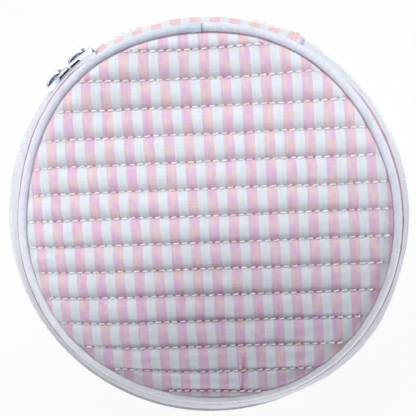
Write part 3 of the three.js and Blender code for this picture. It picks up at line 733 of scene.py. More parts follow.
def settled(points, body=None):
    """Points in mm as they lie on the real case: those of the base stay, and the lid's edge is moved."""
    points = np.array(points, float)
    if body == "base":
        return points
    x, y, z = points[..., 0].copy(), points[..., 1].copy(), points[..., 2]
    radius = np.hypot(x, y)
    angle = np.arctan2(y, x)
    high = eased(z, seam_height + 1, lid_edge_height)
    swing = sum(c * np.cos(k * angle) + s * np.sin(k * angle) for k, (c, s) in lid_edge_waves.items())
    pushed = swing * high * eased(radius, stiff_radius, loose_radius)
    points[..., 0] = x + pushed * np.cos(angle)
    points[..., 1] = y + pushed * np.sin(angle)
    return points


rim = settled(around_case(piping_radius, FULL_TURN * np.arange(8) / 8, piping_height["lid"]))
print("the lid's edge moves by", np.round(np.hypot(rim[:, 0], rim[:, 1]) - piping_radius, 2), "mm")

# %% [markdown]
# ## The quilted lid
#
# The lid is two layers of cotton with wadding between them, sewn through in straight rows. Wadding pushes
# the cloth up everywhere except where the thread holds it down, so each channel is a low arch that falls
# steeply into its seams, and the cloth there puckers at every stitch. A cloth simulation could blow the
# channels up, but the rows would then move, and here they are known from the photograph. So the arch is
# written down as a curve, and the small unevenness of real wadding is added as slow waves, each given by
# its height and its length in millimetres. At the front right the edge of the lid is pressed down flatter
# against the piping than elsewhere.

# %% Work out the shape of a quilted pad
pad_radius = 68.15
cover_edge = 0.8
cover_crown = 2.7
channel_puff = 1.85
row_pitch = 9.80
first_lid_row = 62.25
row_count = 14
stitch_pitch = 3.04
stitch_half = 1.2
pad_inside = {"base": 4.2, "lid": 26.8}
pad_seed = {"base": 71, "lid": 11}
pad_rows = {
    "base": [row_pitch * (row + 0.5) for row in range(6, 6 - row_count, -1)],
    "lid": [first_lid_row - row_pitch * row for row in range(row_count)],
}


def row_line(x, row_y, seed):
    """A row of stitching is nearly straight: it wanders by a quarter of a millimetre."""
    room = np.clip(1 - (x * x + row_y * row_y) / pad_radius**2, 0, 1)
    return row_y + 0.2 * soft_waves(x, x * 0 + row_y, 46, seed) * np.sqrt(room)


def pressed_front(x, y):
    """How far the edge of the pad is pressed down here, from 0 to 1 at the front right."""
    return eased(0.5 * x - y, -5, 50)


def padding(x, y, swell, seed):
    """Thickness of a pad at a place, in mm. swell is 0 on a row of stitching and 1 between rows."""
    out = np.minimum(1, np.hypot(x, y) / pad_radius)
    pressed = pressed_front(x, y)
    pillow = np.sqrt(np.clip(1 - out ** (12 - 5.5 * pressed), 0, 1))
    uneven = 1 + 0.16 * soft_waves(x, y, 24, seed + 1) + 0.07 * soft_waves(x, y, 9, seed + 2)
    lumps = 0.22 * soft_waves(x, y, 34, seed + 3)
    near_stitches = (1 - swell) ** 1.5
    puckers = 0.095 * near_stitches * swell**0.15 * soft_waves(x, y, 3.4, seed + 4, 2.2)
    creases = 0.075 * soft_waves(x, y, 6.5, seed + 5, 1.8)
    around = np.arctan2(y, x) * pad_radius
    gathers = 0.14 * eased(out, 0.9, 0.985) * soft_waves(around, out * 8, 4.2, seed + 6)
    filling = cover_crown + channel_puff * swell * uneven + lumps + puckers + creases + gathers
    return cover_edge + 0.55 * pressed * (1 - pillow) + filling * pillow


for body, rows in pad_rows.items():
    print(len(rows), "rows on the", body, "from", rows[0], "to", round(rows[-1], 2), "mm")

# %% [markdown]
# ## Stitches and needle holes
#
# The machine makes a stitch every three millimetres, and each hole of its needle is a small pit with a
# short slope round it. The stitches come first, because both the pits in the cloth and the thread that is
# laid on it later have to know where they are. Painted shade darkens the cloth's colour in its seams, in
# the needle holes and at its rim, more so beside the piping at the pressed front, and a painted shadow
# lies over the middle of the front; all that adds up to one number of painted shade per point.

# %% Place the stitches, and work out the pull and the shade of the cloth
# The first hole of a stitch is pulled deeper and wider than the second, in mm.
hole_depths = (0.26, 0.16)
hole_widths = (0.42, 0.36)
# Middle and reach of a painted shadow over the front of the lid, in mm.
front_shadow_x, front_shadow_y, front_shadow_reach = 1, -27, 24


def stitches_of_row(row, row_y, seed):
    """The stitches of one row, from left to right: their middles, in mm, and how each one slants."""
    dice = np.random.default_rng(seed + 50 + row)
    half = math.sqrt(pad_radius**2 - row_y**2) - 0.9
    count = int(2 * half / stitch_pitch)
    x = (np.arange(count) - (count - 1) / 2) * stitch_pitch + dice.uniform(-1, 1)
    x = x + dice.normal(0, 0.09, count)
    slant = np.radians(9 + dice.normal(0, 3, count))
    keep = np.abs(x) < half - 0.4
    x, slant = x[keep], slant[keep]
    return x, row_line(x, row_y, seed + row + 1), slant


def needle_pull(row, row_y, seed):
    """A function that says how far the needle holes of one row pull the cloth down at a place."""
    x, y, slant = stitches_of_row(row, row_y, seed)
    holes = []
    for side, depth, width in zip((1, -1), hole_depths, hole_widths):
        reach = side * (stitch_half + 0.1)
        holes.append((x + reach * np.cos(slant), y + reach * np.sin(slant), depth, width))

    def pull(at_x, at_y):
        total = 0
        for hole_x, hole_y, depth, width in holes:
            away = (at_x[:, None] - hole_x) ** 2 + (at_y[:, None] - hole_y) ** 2
            total = total + depth * np.exp(-away / width**2).sum(axis=1)
        return total

    return pull


def pad_shade(x, y, swell):
    """Painted shade on a pad, from 0 to 1: in its seams, at its rim, at the pressed front and in a painted
    shadow.
    """
    out = np.hypot(x, y)
    pressed = pressed_front(x, y)
    at_rim = (0.95 - 0.85 * pressed) * eased(out, pad_radius - 0.8, pad_radius - 0.1)
    beside_piping = 0.36 * pressed * eased(out, pad_radius - 6.5, pad_radius - 1.2)
    painted_front_shadow = np.exp(-((x - front_shadow_x) ** 2 + (y - front_shadow_y) ** 2) / front_shadow_reach**2)
    return 0.19 * (1 - swell) + at_rim + beside_piping + (0.07 + 0.25 * (1 - swell)) * painted_front_shadow


middle_row = stitches_of_row(6, pad_rows["lid"][6], pad_seed["lid"])
print("stitches in a middle row of the lid:", len(middle_row[0]))

# %% [markdown]
# ## The two covers
#
# The pad is built in slices from the back to the front. Each channel gets the same number of slices, so
# that a row of points lies exactly in every seam, and each slice runs from one side of the round to the
# other, with its points closer together where the pad rolls over at the rim. At the pressed front the rim
# spills a little over the piping. The lid has two marks of its own: a crease that a finger pressed near
# the front, and some puckers at the right edge.

# %% Build the two quilted covers
pad_columns = 240
slices_per_channel = 14
cloth_turn = 0.018


def slices_of_pad(rows, seed):
    """The slices of a pad: the number of the channel, the share of it, and the slice's points."""
    spread = np.linspace(-1, 1, pad_columns)
    spread = 0.62 * spread + 0.38 * np.sin(spread * math.pi / 2)
    edge = pad_radius * 0.9992
    lines = [edge, *rows, -edge]
    for channel, (near, far) in enumerate(zip(lines[:-1], lines[1:])):
        last = channel == len(rows)
        for part in range(slices_per_channel + last):
            share = part / slices_per_channel
            flat_y = near + (far - near) * share
            x = math.sqrt(pad_radius**2 - flat_y**2) * spread
            from_line = row_line(x, near, seed + channel) if channel else x * 0 + near
            to_line = x * 0 + far if last else row_line(x, far, seed + channel + 1)
            yield channel, share, x, from_line + (to_line - from_line) * share


def lid_marks(x, y):
    """The crease and the puckers of the lid: how much they add to its thickness, and painted shade in the
    crease.
    """
    crease_x = 11.9 + 0.25 * np.sin(y / 3.1)
    on_crease = eased(-y, 48.4, 51.5) * eased(y, -66.0, -63.0)
    at_edge = eased(x, 61.0, 66.0) * eased(y, -19.5, -14.0) * eased(-y, -7.0, -3.0)
    thick = on_crease * (0.28 * bell(x, crease_x - 1.5, 0.9) - 0.55 * bell(x, crease_x, 0.55))
    thick = thick - 0.3 * at_edge * (0.5 + 0.5 * np.sin(y * 1.35 + x * 0.4))
    return thick, 0.35 * on_crease * bell(x, crease_x, 0.5)


def quilted_pad(body):
    rows, seed, inside = pad_rows[body], pad_seed[body], pad_inside[body]
    pulls = [needle_pull(row, row_y, seed) for row, row_y in enumerate(rows)]
    slices = []
    dips = []
    for channel, share, x, y in slices_of_pad(rows, seed):
        swell = np.full(pad_columns, (1 - abs(2 * share - 1) ** 2.0) ** 0.9)
        pull = sum(pulls[row](x, y) for row in (channel - 1, channel) if 0 <= row < len(rows))
        thick = padding(x, y, swell, seed) - pull
        # Painted shade: the seams, the rim and the needle holes make the cloth's colour darker.
        dip = pad_shade(x, y, swell) + 1.5 * pull
        if body == "lid":
            more_thick, more_dip = lid_marks(x, y)
            thick, dip = thick + more_thick, dip + more_dip
        height = np.maximum(0.0, inside + outward[body] * np.maximum(thick, 0.3))
        spill = 1 + 0.0035 * pressed_front(x, y) * eased(np.hypot(x, y), pad_radius - 1.6, pad_radius)
        top = np.stack([x * spill, y * spill, height], axis=-1)
        slices.append(np.concatenate([top, [[x[-1], y[-1], inside], [x[0], y[0], inside]]]))
        dips.append(np.concatenate([dip, [1, 1]]))
    points = settled(slices, body)
    stripes = points[:, :, 0] * math.cos(cloth_turn) + points[:, :, 1] * math.sin(cloth_turn)
    length = points[:, :, 1] * math.cos(cloth_turn) - points[:, :, 0] * math.sin(cloth_turn)
    cloth = np.stack([stripes, length], axis=-1)
    pad = skin(f"{body}_quilted_pad", points, body, quilted_cotton, cloth=cloth, dip=np.array(dips), sharp=80)
    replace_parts(pad, f"{body}_cover")
    return pad


for body in ("lid", "base"):
    pad = quilted_pad(body)
    heights = [1000 * point.co.z for point in pad.data.vertices]
    print(pad.name, len(heights), "points, from", round(min(heights), 2), "to", round(max(heights), 2), "mm")

# %% [markdown]
# ## The stitches
#
# Each row is sewn with a thick cream thread in a running stitch: a little more than two millimetres lie
# on top and the rest runs underneath. A machine lays the stitches at a slant, because each one starts
# where the needle left the last. A stitch is therefore a short bent rod whose ends dive into the cloth,
# and all the stitches of a pad are one mesh.

# %% Sew the rows
thread_thickness = 0.31
thread_turn = np.linspace(0, FULL_TURN, 8, endpoint=False)


class Thread:
    """A mesh of many short stitches, each a rod of rings of points."""

    def __init__(self):
        self.points, self.faces, self.places = [], [], []

    def add_stitch(self, rings, along, side_step):
        """along says how far along the thread each ring lies, and side_step how far apart its points are."""
        base = len(self.points)
        bends, sides = rings.shape[:2]
        self.points.extend(rings.reshape(-1, 3))
        for bend in range(bends - 1):
            here, after = base + bend * sides, base + (bend + 1) * sides
            for side in range(sides):
                beside = (side + 1) % sides
                self.faces.append((here + side, after + side, after + beside, here + beside))
                for step, way in ((bend, side), (bend + 1, side), (bend + 1, side + 1), (bend, side + 1)):
                    self.places.append((along[step], way * side_step))
        for end in (0, bends - 1):
            self.faces.append(tuple(base + end * sides + side for side in range(sides)))
            self.places.extend([(along[end], 0.0)] * sides)

    def sewn(self, name, body):
        points = settled(self.points, body)
        return join_up(name, points, self.faces, self.places, body, quilting_thread)


def sew(body):
    """The running stitches of a pad. Each one arches over the cloth and dives in at its ends."""
    seed = pad_seed[body]
    thread = Thread()
    run = np.linspace(-1, 1, 9)
    arch = 0.46 - 0.86 * np.abs(run) ** 3.2
    thick = (thread_thickness * np.sqrt(np.clip(1.02 - run**8, 0.05, 1)))[:, None]
    for row, row_y in enumerate(pad_rows[body]):
        for x, y, slant in zip(*stitches_of_row(row, row_y, seed)):
            arched = padding(np.array([x]), np.array([y]), 0.0, seed) + arch
            height = np.maximum(pad_inside[body] + outward[body] * arched, thread_thickness + 0.02)
            sideways = thick * np.cos(thread_turn)
            line_x = (x + stitch_half * run * math.cos(slant))[:, None] - sideways * math.sin(slant)
            line_y = (y + stitch_half * run * math.sin(slant))[:, None] + sideways * math.cos(slant)
            line_z = height[:, None] + thick * 0.85 * np.sin(thread_turn)
            thread.add_stitch(np.stack([line_x, line_y, line_z], axis=-1), run * stitch_half, 0.24)
    return thread.sewn(f"{body}_stitches", body)


for body in ("lid", "base"):
    stitches = sew(body)
    print(stitches.name, "has", len(stitches.data.vertices) // (9 * len(thread_turn)), "stitches")

# %% [markdown]
# ## The piping
#
# Piping is a cord in a sleeve of cotton, caught in the seam round each pad. Its two ends meet near the
# hinge, where one end is folded in and laid over the other: there the cord is a little thicker, and the
# fold is a dent with painted shade in it. Outside the piping a narrow strip of the pink seam shows all
# the way round, and it sits a little further in behind the hinge. Its darker pink is partly painted shade.

# %% Lay the two pipings and their seams
piping_thickness = 1.75
join_angle = math.radians(88.3)
join_length = 4.6
sewing_radius = 71
seam_radius = 71.75
seam_thickness = 0.65


def piping_ring(body, seed):
    """The piping of one half. Its points lie closer together at the join."""
    length = FULL_TURN * piping_radius
    fold = np.concatenate([[0.0, 0.1], np.linspace(0.35, join_length - 0.3, 9)])
    rest = np.linspace(join_length + 1.3, length - 1.1, 340)
    along = np.concatenate([fold, [join_length, join_length + 0.25], rest, [length - 0.12]])
    angle = join_angle + along / piping_radius
    lap = 0.22 * (eased(along, 0.02, 0.12) - eased(along, join_length - 0.5, join_length + 0.3))
    crease = 0.35 * bell(along, 0.0, 0.16) + 0.3 * bell(along, along[-1], 0.25)
    around, run = np.meshgrid(np.linspace(0, FULL_TURN, 24, endpoint=False), along)
    wrinkle = 0.05 * soft_waves(run, around * piping_thickness, 5.2, seed)
    wrinkle = wrinkle + 0.04 * soft_waves(run, around * piping_thickness, 2.1, seed + 1)
    thick = piping_thickness + lap[:, None] - crease[:, None] + wrinkle
    sway = 0.1 * soft_waves(np.cos(angle) * 70, np.sin(angle) * 70, 38, seed + 2)
    radius = piping_radius + sway[:, None] + thick * np.cos(around)
    points = settled(around_case(radius, angle[:, None], piping_height[body] + thick * np.sin(around)), body)
    # Painted shade in the dent of the fold.
    darker = np.broadcast_to(2.2 * crease[:, None], thick.shape)
    ring = skin(f"{body}_piping_cord", points, body, piping_cotton, loop=True, dip=darker)
    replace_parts(ring, f"{body}_piping")


def seam_ring(body, seed):
    """The pink strip of the seam, a thin rounded edge outside the piping; its darker pink is partly painted
    shade.
    """
    along = np.linspace(0, FULL_TURN * sewing_radius, 300, endpoint=False)
    angle = along / sewing_radius
    at_back = eased(np.abs(angle - math.radians(82)), math.radians(50), math.radians(34))
    around, run = np.meshgrid(np.linspace(0, FULL_TURN, 12, endpoint=False), along)
    uneven = 1 + 0.1 * soft_waves(run, around * 0, 6.0, seed)
    middle = seam_radius - 0.85 * at_back[:, None] + 0.08 * soft_waves(run, around * 0, 17, seed + 1)
    radius = middle + seam_thickness * uneven * np.cos(around)
    height = piping_height[body] - outward[body] * 1.45 + 0.45 * np.sin(around)
    points = settled(around_case(radius, angle[:, None], height), body)
    return skin(f"{body}_seam_strip", points, body, seam_cotton, loop=True)


piping_ring("lid", 21)
piping_ring("base", 31)
seam_ring("lid", 41)
base_seam = seam_ring("base", 45)
print("piping is", 2 * piping_thickness, "mm thick and", round(FULL_TURN * piping_radius), "mm long")

# %% [markdown]
# ## The zip tape
#
# The wall is nothing but the two halves of the tape. Each half is sewn in under its piping and curves out
# to the teeth. Tape is stiff along its length and stands in a smooth curve, so it is modelled as the
# curve itself, with a slight wave where the sewing pulls it in.

# %% Make the wall of tape
wall_bulge = 1.3
swell_angle = math.radians(317)
swell_width = math.radians(25)


def wall_point(share, inset, upward):
    """Radius and height of the wall, from 0 beside the piping to 1 at the teeth."""
    lean = (tape_radius - wall_foot_radius) * share
    radius = wall_foot_radius + lean + wall_bulge * np.sin(math.pi * share)
    return radius - inset, seam_height + upward * wall_foot_rise * (1 - share)


def wall_strip(name, body, finish, start, end, from_share, to_share, inset, thick, seed):
    """A strip of the wall of one half, from beside the piping towards the teeth. At the front right the
    wall of the lid stands out by two millimetres more, from handling."""
    angle = np.linspace(start, end, 300)[:, None]
    share = np.linspace(from_share, to_share, 12)
    outer = np.array(wall_point(share, inset, outward[body]))
    inner = np.array(wall_point(share[::-1], inset + thick, outward[body]))
    radius, height = np.concatenate([outer, inner], axis=1)
    low = np.concatenate([1 - share, 1 - share[::-1]])
    belly = np.sin(math.pi * np.clip(low, 0, 1))
    wave = 0.12 * soft_waves(angle * tape_radius, low * 0, 9.5, seed) * belly**0.5
    if body == "lid":
        wave = wave + 2.1 * bell(angle, swell_angle, swell_width) * belly
    return skin(name, settled(around_case(radius + wave, angle, height), body), body, finish)


for body, seed in (("base", 51), ("lid", 55)):
    tape = wall_strip(f"{body}_tape", body, zip_tape, zip_start, zip_end, from_share=-0.04, to_share=0.79,
                      inset=0, thick=0.7, seed=seed)
    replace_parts(tape, f"{body}_zip_tape")
print("tape is", round((zip_end - zip_start) * tape_radius), "mm long")

# %% [markdown]
# ## Teeth, sliders and snap
#
# These are hard parts, so the CAD solids keep their shape and only get a finish. A bevel modifier takes
# the knife edges off: real castings and moulded teeth have rounded edges, and it is the rounding that
# catches the light. The modifier leaves the solid itself alone.

# %% Finish the hard parts
sliders = [f"zip_{part}" for side in ("parked", "running")
           for part in (f"slider_{side}", f"slider_{side}_back_plate", f"pull_{side}")]


def finish_solids(nodes, finish, bevel, segments):
    for node in nodes:
        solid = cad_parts[node]
        solid.data.materials.clear()
        solid.data.materials.append(finish)
        solid.data.shade_smooth()
        solid.data.set_sharp_from_angle(angle=math.radians(40))
        rounding = solid.modifiers.new("rounding", "BEVEL")
        rounding.width = bevel * MM
        rounding.segments = segments
        rounding.limit_method = "ANGLE"
        rounding.angle_limit = math.radians(35)
        rounding.harden_normals = True
    print(len(nodes), "solids in", finish.name)


finish_solids(["base_zip_teeth", "lid_zip_teeth"], zip_teeth, 0.12, 2)
finish_solids(sliders, nickel, 0.16, 3)
finish_solids(["ring_snap_stud", "ring_snap_cap"], nickel, 0.12, 3)
finish_solids(["base_board", "lid_board"], stiffener, 0.2, 2)

# %% [markdown]
# The front plate of a zip slider turns in above and below the teeth, to hold the tape's edge. The solids
# leave the upper side open, so that the lid can be lifted out past it. Here each slider gets that upper
# lip, along the narrow half of its plate, and it stops short of the tape.

# %% Add the upper lips of the sliders
slider_length = 10.5
slider_gap = 0.9
slider_tail = 6.6
slider_shoulder = 8.4
plate_face = 2.05
lip_reach = 2.55
slider_arc = slider_length / tape_radius
parked_angle = zip_start + slider_gap / tape_radius + slider_arc / 2
running_angle = parked_angle + slider_arc + slider_gap / tape_radius


def upper_lip(name, middle, nose, body):
    """A thin metal shelf from the plate in towards the tape, from the tail to past the middle."""
    run = np.linspace(-0.5, 0.08, 14)
    half = (slider_tail + (slider_shoulder - slider_tail) * eased(0.5 + run, 0.25, 0.8)) / 2
    angle = middle + nose * run * slider_arc
    rounding = np.sqrt(np.clip(1 - ((run + 0.21) / 0.292) ** 8, 0.05, 1))
    inner = tape_radius + 1.8 - lip_reach * rounding
    edge = tape_radius + plate_face
    rows = []
    for a, h, i in zip(angle, half, inner):
        top = seam_height + h - 0.02
        outline = np.array([(i, top - 0.75), (edge - 0.25, top - 0.75), (edge, top - 0.5), (edge, top - 0.2),
                            (edge - 0.2, top), (i + 0.25, top), (i, top - 0.25)])
        rows.append(around_case(outline[:, 0], a, outline[:, 1]))
    skin(name, np.array(rows), body, nickel, sharp=40)


upper_lip("parked_slider_lip", parked_angle, 1, "slider_parked")
upper_lip("running_slider_lip", running_angle, -1, "slider_running")
print("sliders stand at", round(math.degrees(parked_angle), 1), "and", round(math.degrees(running_angle), 1))

# %% [markdown]
# ## The cloth hinge
#
# At the back the wall is a strip of the striped cotton, from one end of the zip to the other. Its two
# ends are folded under and topstitched. When the lid opens, the real strip bends like the spine of a
# book: its lower edge stays with the base and its upper edge goes with the lid. It has no body of its
# own. The strip follows the curve of the wall up from one piping and on to the other, and its slack is a
# few slow waves.

# %% Helpers for a strip across the hinge
hinge_share = np.linspace(-0.02, 1, 16)
hinge_low = np.array(wall_point(hinge_share, 0, -1))
hinge_high = np.array(wall_point(hinge_share[::-1], 0, 1))
hinge_radius, hinge_rise = np.concatenate([hinge_low, hinge_high[:, 1:]], axis=1)


def hinge_waves(angle, size, seed):
    """Slack of the hinge: slow waves in the middle of its height, and quick ones all over."""
    along = angle[:, None] * tape_radius
    rise = hinge_rise + along * 0
    slack = np.sin(math.pi * np.clip((hinge_rise - 5.5) / 20, 0, 1))
    slow = size * slack * soft_waves(along, rise, 15, seed, 2.0)
    return slow + 0.3 * size * soft_waves(along, rise, 5, seed + 1, 2.5)


def hinge_strip(name, angle, inset, thick, raised, wave, dip, finish):
    """A strip over the whole height of the hinge. raised says how far its outside stands out."""
    inner = hinge_radius - inset - thick + wave
    radius = np.concatenate([hinge_radius - inset + raised + wave, inner[:, ::-1]], axis=1)
    height = np.concatenate([hinge_rise, hinge_rise[::-1]])
    points = settled(around_case(radius, angle[:, None], height))
    cloth = np.stack(np.broadcast_arrays((BACK - angle[:, None]) * tape_radius, height), axis=-1)
    dip = np.broadcast_to(dip, radius.shape)
    strip = skin(name, points, None, finish, cloth=cloth, dip=dip, sharp=60)
    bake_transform(strip)
    return strip


print("hinge rises from", round(hinge_rise[0], 1), "to", round(hinge_rise[-1], 1), "mm")

# %% [markdown]
# The outer strip has folded ends. A fold is four millimetres wide, stands a little proud and has a
# rounded edge, with a line of painted shadow beside it. Near its right end the cloth also bulges out,
# where the end of the zip pushes it. The strip of lining lies inside it and has no folds.

# %% Make the hinge and its lining
fold_width = 4.2
fold_height = 0.75
bulge_height = 1.3
hinge_lining_reach = gusset_half_angle - 0.01


def folded_hinge():
    start = BACK - gusset_half_angle - 0.011
    end = BACK + gusset_half_angle - 0.006
    fold = fold_width / tape_radius
    fold_steps = fold * np.array([0, 0.0015, 0.004, 0.008, 0.5, 0.93, 0.975, 1.0, 1.04])
    between = np.linspace(start + fold * 1.15, end - fold * 1.15, 90)
    angle = np.concatenate([start + fold_steps, between, end - fold_steps[::-1]])
    into = np.minimum(angle - start, end - angle) / fold
    rounded = np.sqrt(np.clip(1 - np.clip(1 - into / 0.09, 0, 1) ** 2, 0, 1))
    raised = fold_height * (1 - eased(into, 0.9, 1.02)) * rounded
    along_bulge = bell((angle - start) * tape_radius, 5.0, 4.5)[:, None]
    bulge = bulge_height * along_bulge * bell(hinge_rise, 19.5, 4.0)
    wave = hinge_waves(angle, 0.22, 61) + bulge
    # Painted shadow: a dark line at the outer end of each fold.
    painted_fold_shadow = (1 - eased(into, 0.0, 0.02))[:, None]
    return hinge_strip("hinge_cloth", angle, inset=0, thick=0.9, raised=raised[:, None], wave=wave,
                       dip=painted_fold_shadow, finish=gusset_cotton)


hinge = folded_hinge()
lining_angle = np.linspace(BACK - hinge_lining_reach, BACK + hinge_lining_reach, 110)
hinge_inside = hinge_strip("hinge_inside", lining_angle, inset=1.2, thick=0.6, raised=0,
                           wave=hinge_waves(lining_angle, 0.1, 65), dip=0, finish=lining_cotton)
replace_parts(hinge, "hinge_gusset")
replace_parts(hinge_inside, "hinge_gusset_lining")
print("hinge is", round(2 * gusset_half_angle * tape_radius), "mm wide")

# %% [markdown]
# Each end of the hinge is topstitched along its upper edge for a thumb's width, where the end of the zip
# lies underneath. Like the hinge, these stitches have no body of their own.

# %% Topstitch the ends of the hinge
topstitch_height = 19.6
topstitch_pitch = 2.9
topstitch_length = 2.1
first_topstitch = 2.6


def topstitch(name, side, seed):
    """Six stitches along the upper edge of the hinge, from one of its ends inwards."""
    dice = np.random.default_rng(seed)
    thread = Thread()
    share = np.linspace(0, 1, 7)
    run = 2 * share - 1
    thick = (0.24 * np.sqrt(np.clip(1.02 - run**8, 0.05, None)))[:, None]
    for stitch in range(6):
        from_end = first_topstitch + topstitch_pitch * stitch + topstitch_length * share
        angle = BACK + side * (gusset_half_angle - from_end / tape_radius)
        height = topstitch_height + dice.normal(0, 0.12) * run
        wall_share = 1 - (height - seam_height) / wall_foot_rise
        radius = wall_point(wall_share, 0, 1)[0] + 0.5 + 0.16 - 0.5 * np.abs(run) ** 3
        rings = around_case(radius[:, None] + thick * np.cos(thread_turn), angle[:, None],
                            height[:, None] + thick * np.sin(thread_turn))
        thread.add_stitch(rings, 0.35 * np.arange(7), 0.2)
    row = thread.sewn(name, None)
    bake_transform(row)


topstitch("hinge_topstitch_left", 1, 142)
topstitch("hinge_topstitch_right", -1, 140)
print("hinge topstitched at both ends")

# %% [markdown]
# ## The linings
#
# Inside, the floor, the lid and the wall are lined in a plain pale cotton. The round linings are cut as
# discs and sewn in by their edge over card, so they lie nearly flat, with a few shallow waves and a
# slightly drawn edge. They are built as rings that grow from the middle, over the edge and back.

# %% Line the floor, the lid and the walls
lining_radius = 68.6
lining_thick = 0.8
lining_underside = {"base": 6.0, "lid": 24.2}


def lining_disc(name, body, seed):
    """A round lining over the card of one half, whose face looks into the case."""
    underside = lining_underside[body]
    upward = -outward[body]
    level, back = underside + lining_thick, underside
    if body == "lid":
        level, back = back, level
    near_rim = lining_radius - np.array([2, 1.2, 0.5])
    out = np.concatenate([[0.6, 3], np.linspace(6, lining_radius - 3, 30), near_rim])
    turn = np.linspace(0, FULL_TURN, 180, endpoint=False)
    x = out[:, None] * np.cos(turn)
    y = out[:, None] * np.sin(turn)
    rim = eased(out, lining_radius - 7, lining_radius)[:, None]
    relief = 0.1 * soft_waves(x, y, 40, seed) + 0.07 * soft_waves(x, y, 13, seed + 1)
    relief = relief + 0.1 * rim * soft_waves(turn[None, :] * lining_radius, x * 0, 6, seed + 2)
    rings = [np.stack([x, y, level + upward * (np.minimum(relief, 0.12) - 0.12)], axis=-1)]
    rings.append(around_case(lining_radius, turn, underside + lining_thick / 2)[None])
    for size in (lining_radius - 0.5, 40, 0.6):
        rings.append(around_case(size, turn, back)[None])
    points = settled(np.concatenate(rings), body)
    disc = skin(name, points, body, lining_cotton, cloth=points[:, :, :2])
    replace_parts(disc, f"{body}_lining")
    return disc


lining_disc("floor_lining", "base", 81)
roof_lining = lining_disc("roof_lining", "lid", 85)
for body, seed in (("base", 91), ("lid", 95)):
    wall_lining = wall_strip(f"{body}_wall_lining", body, lining_cotton, zip_start + 0.004, zip_end - 0.004,
                             from_share=0, to_share=0.48, inset=1.5, thick=lining_thick, seed=seed)
    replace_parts(wall_lining, f"{body}_side_lining")
print("linings are", 2 * lining_radius, "mm across")

# %% [markdown]
# ## The ring roll
#
# Rings are threaded on a padded roll that lies across the base. It is a tube of lining cotton, stuffed
# tight and gathered at both ends. A lathe would make the tube too true, so it is a row of circles whose
# size changes with lumps of stuffing, with pleats near the ends and with a seam along one side.

# %% Make the ring roll
roll_y = 16.0
roll_height = 12.6
roll_radius = 5.5
roll_half_length = 42.0


def ring_roll():
    along = roll_half_length * np.sin(np.linspace(-math.pi / 2, math.pi / 2, 90))
    turn = np.linspace(0, FULL_TURN, 40, endpoint=False)
    from_end = roll_half_length - np.abs(along)
    full = np.sqrt(np.clip(1 - np.clip(1 - from_end / 3.4, 0, 1) ** 2, 0.004, 1))
    around, run = np.meshgrid(turn, along)
    near_end = np.exp(-from_end / 3.2)[:, None]
    pleats = 0.3 * near_end * (np.sin(around * 13) * 0.7 + 0.5 * np.sin(around * 7 + 1))
    lumps = 0.13 * soft_waves(run, around * roll_radius, 15, 101)
    seam = 0.35 * bell((around - 0.6) * roll_radius, 0, 0.5)
    radius = full[:, None] * (roll_radius - 0.22 + lumps - pleats - seam * (1 - near_end))
    points = np.stack([run, roll_y + radius * np.cos(around), roll_height + radius * np.sin(around)], axis=-1)
    roll = skin("padded_ring_roll", points, "base", lining_cotton)
    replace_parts(roll, "ring_roll")


ring_roll()
print("roll is", 2 * roll_half_length, "mm long")

# %% [markdown]
# ## The strap of the roll
#
# A short strap, sewn to the floor beyond one end of the roll, folds over it and holds the rings on with a
# snap. The strap is one folded strip with turned edges and a row of topstitch near each edge, so its
# section is a rounded oblong, carried up and over the end of the roll.

# %% Make the strap
strap_x = 43.0
strap_top = 19.8
strap_bend = 2.2
strap_half_width = 6.0
strap_half_thick = 0.48


def ring_strap():
    bend_x, bend_z = strap_x - strap_bend, strap_top - strap_bend
    path = [(strap_x, z) for z in (7.2, 9.0, 12.0, 15.0, bend_z)]
    for turn in np.linspace(0, math.pi / 2, 8)[1:]:
        path.append((bend_x + strap_bend * math.cos(turn), bend_z + strap_bend * math.sin(turn)))
    path += [(x, strap_top) for x in (39.0, 37.5, 36.0, 34.6, 33.9)]
    path += [(33.5, strap_top - 0.02), (33.2, strap_top - 0.04)]
    path = np.array(path)
    way = np.gradient(path, axis=0)
    way /= np.linalg.norm(way, axis=1)[:, None]
    turn = np.linspace(0, FULL_TURN, 32, endpoint=False)
    wide = np.sign(np.cos(turn)) * np.abs(np.cos(turn)) ** 0.28
    deep = np.sign(np.sin(turn)) * np.abs(np.sin(turn)) ** 0.7
    ends = np.ones((len(path), 1))
    ends[0], ends[-2], ends[-1] = 0.9, 0.86, 0.55
    stitch_groove = 0.22 * bell(np.abs(strap_half_width * wide), 4.9, 0.35)
    half_wide = strap_half_width * (0.9 + 0.1 * ends) * wide
    half_deep = strap_half_thick * ends * deep * (1 - stitch_groove)
    x = path[:, 0, None] - way[:, 1, None] * half_deep
    z = path[:, 1, None] + way[:, 0, None] * half_deep
    points = np.stack([x, roll_y + half_wide, z], axis=-1)
    strap = skin("ring_roll_strap", points, "ring_strap", lining_cotton)
    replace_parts(strap, "ring_strap")


ring_strap()
print("strap is", 2 * strap_half_width, "mm wide")

# %% [markdown]
# ## The gathered pocket
#
# Along the front of the base stands a gathered pocket: a long strip drawn in by elastic at its top, which
# throws the cloth into small upright folds. The folds are deepest at the elastic and die out at the
# floor. The elastic runs inside a hem, so it looks like a ruched tube: a tube whose cloth is pushed
# together into narrow folds.

# %% Make the gathered pocket and its elastic
pocket_half_angle = math.radians(58)
pocket_radius = 60.975
pocket_rise = 7.0
pocket_thick = 0.85
pocket_gathers = 24
pocket_edge_radius = 59.875
pocket_edge_height = 15.15
elastic_thickness = 1.0


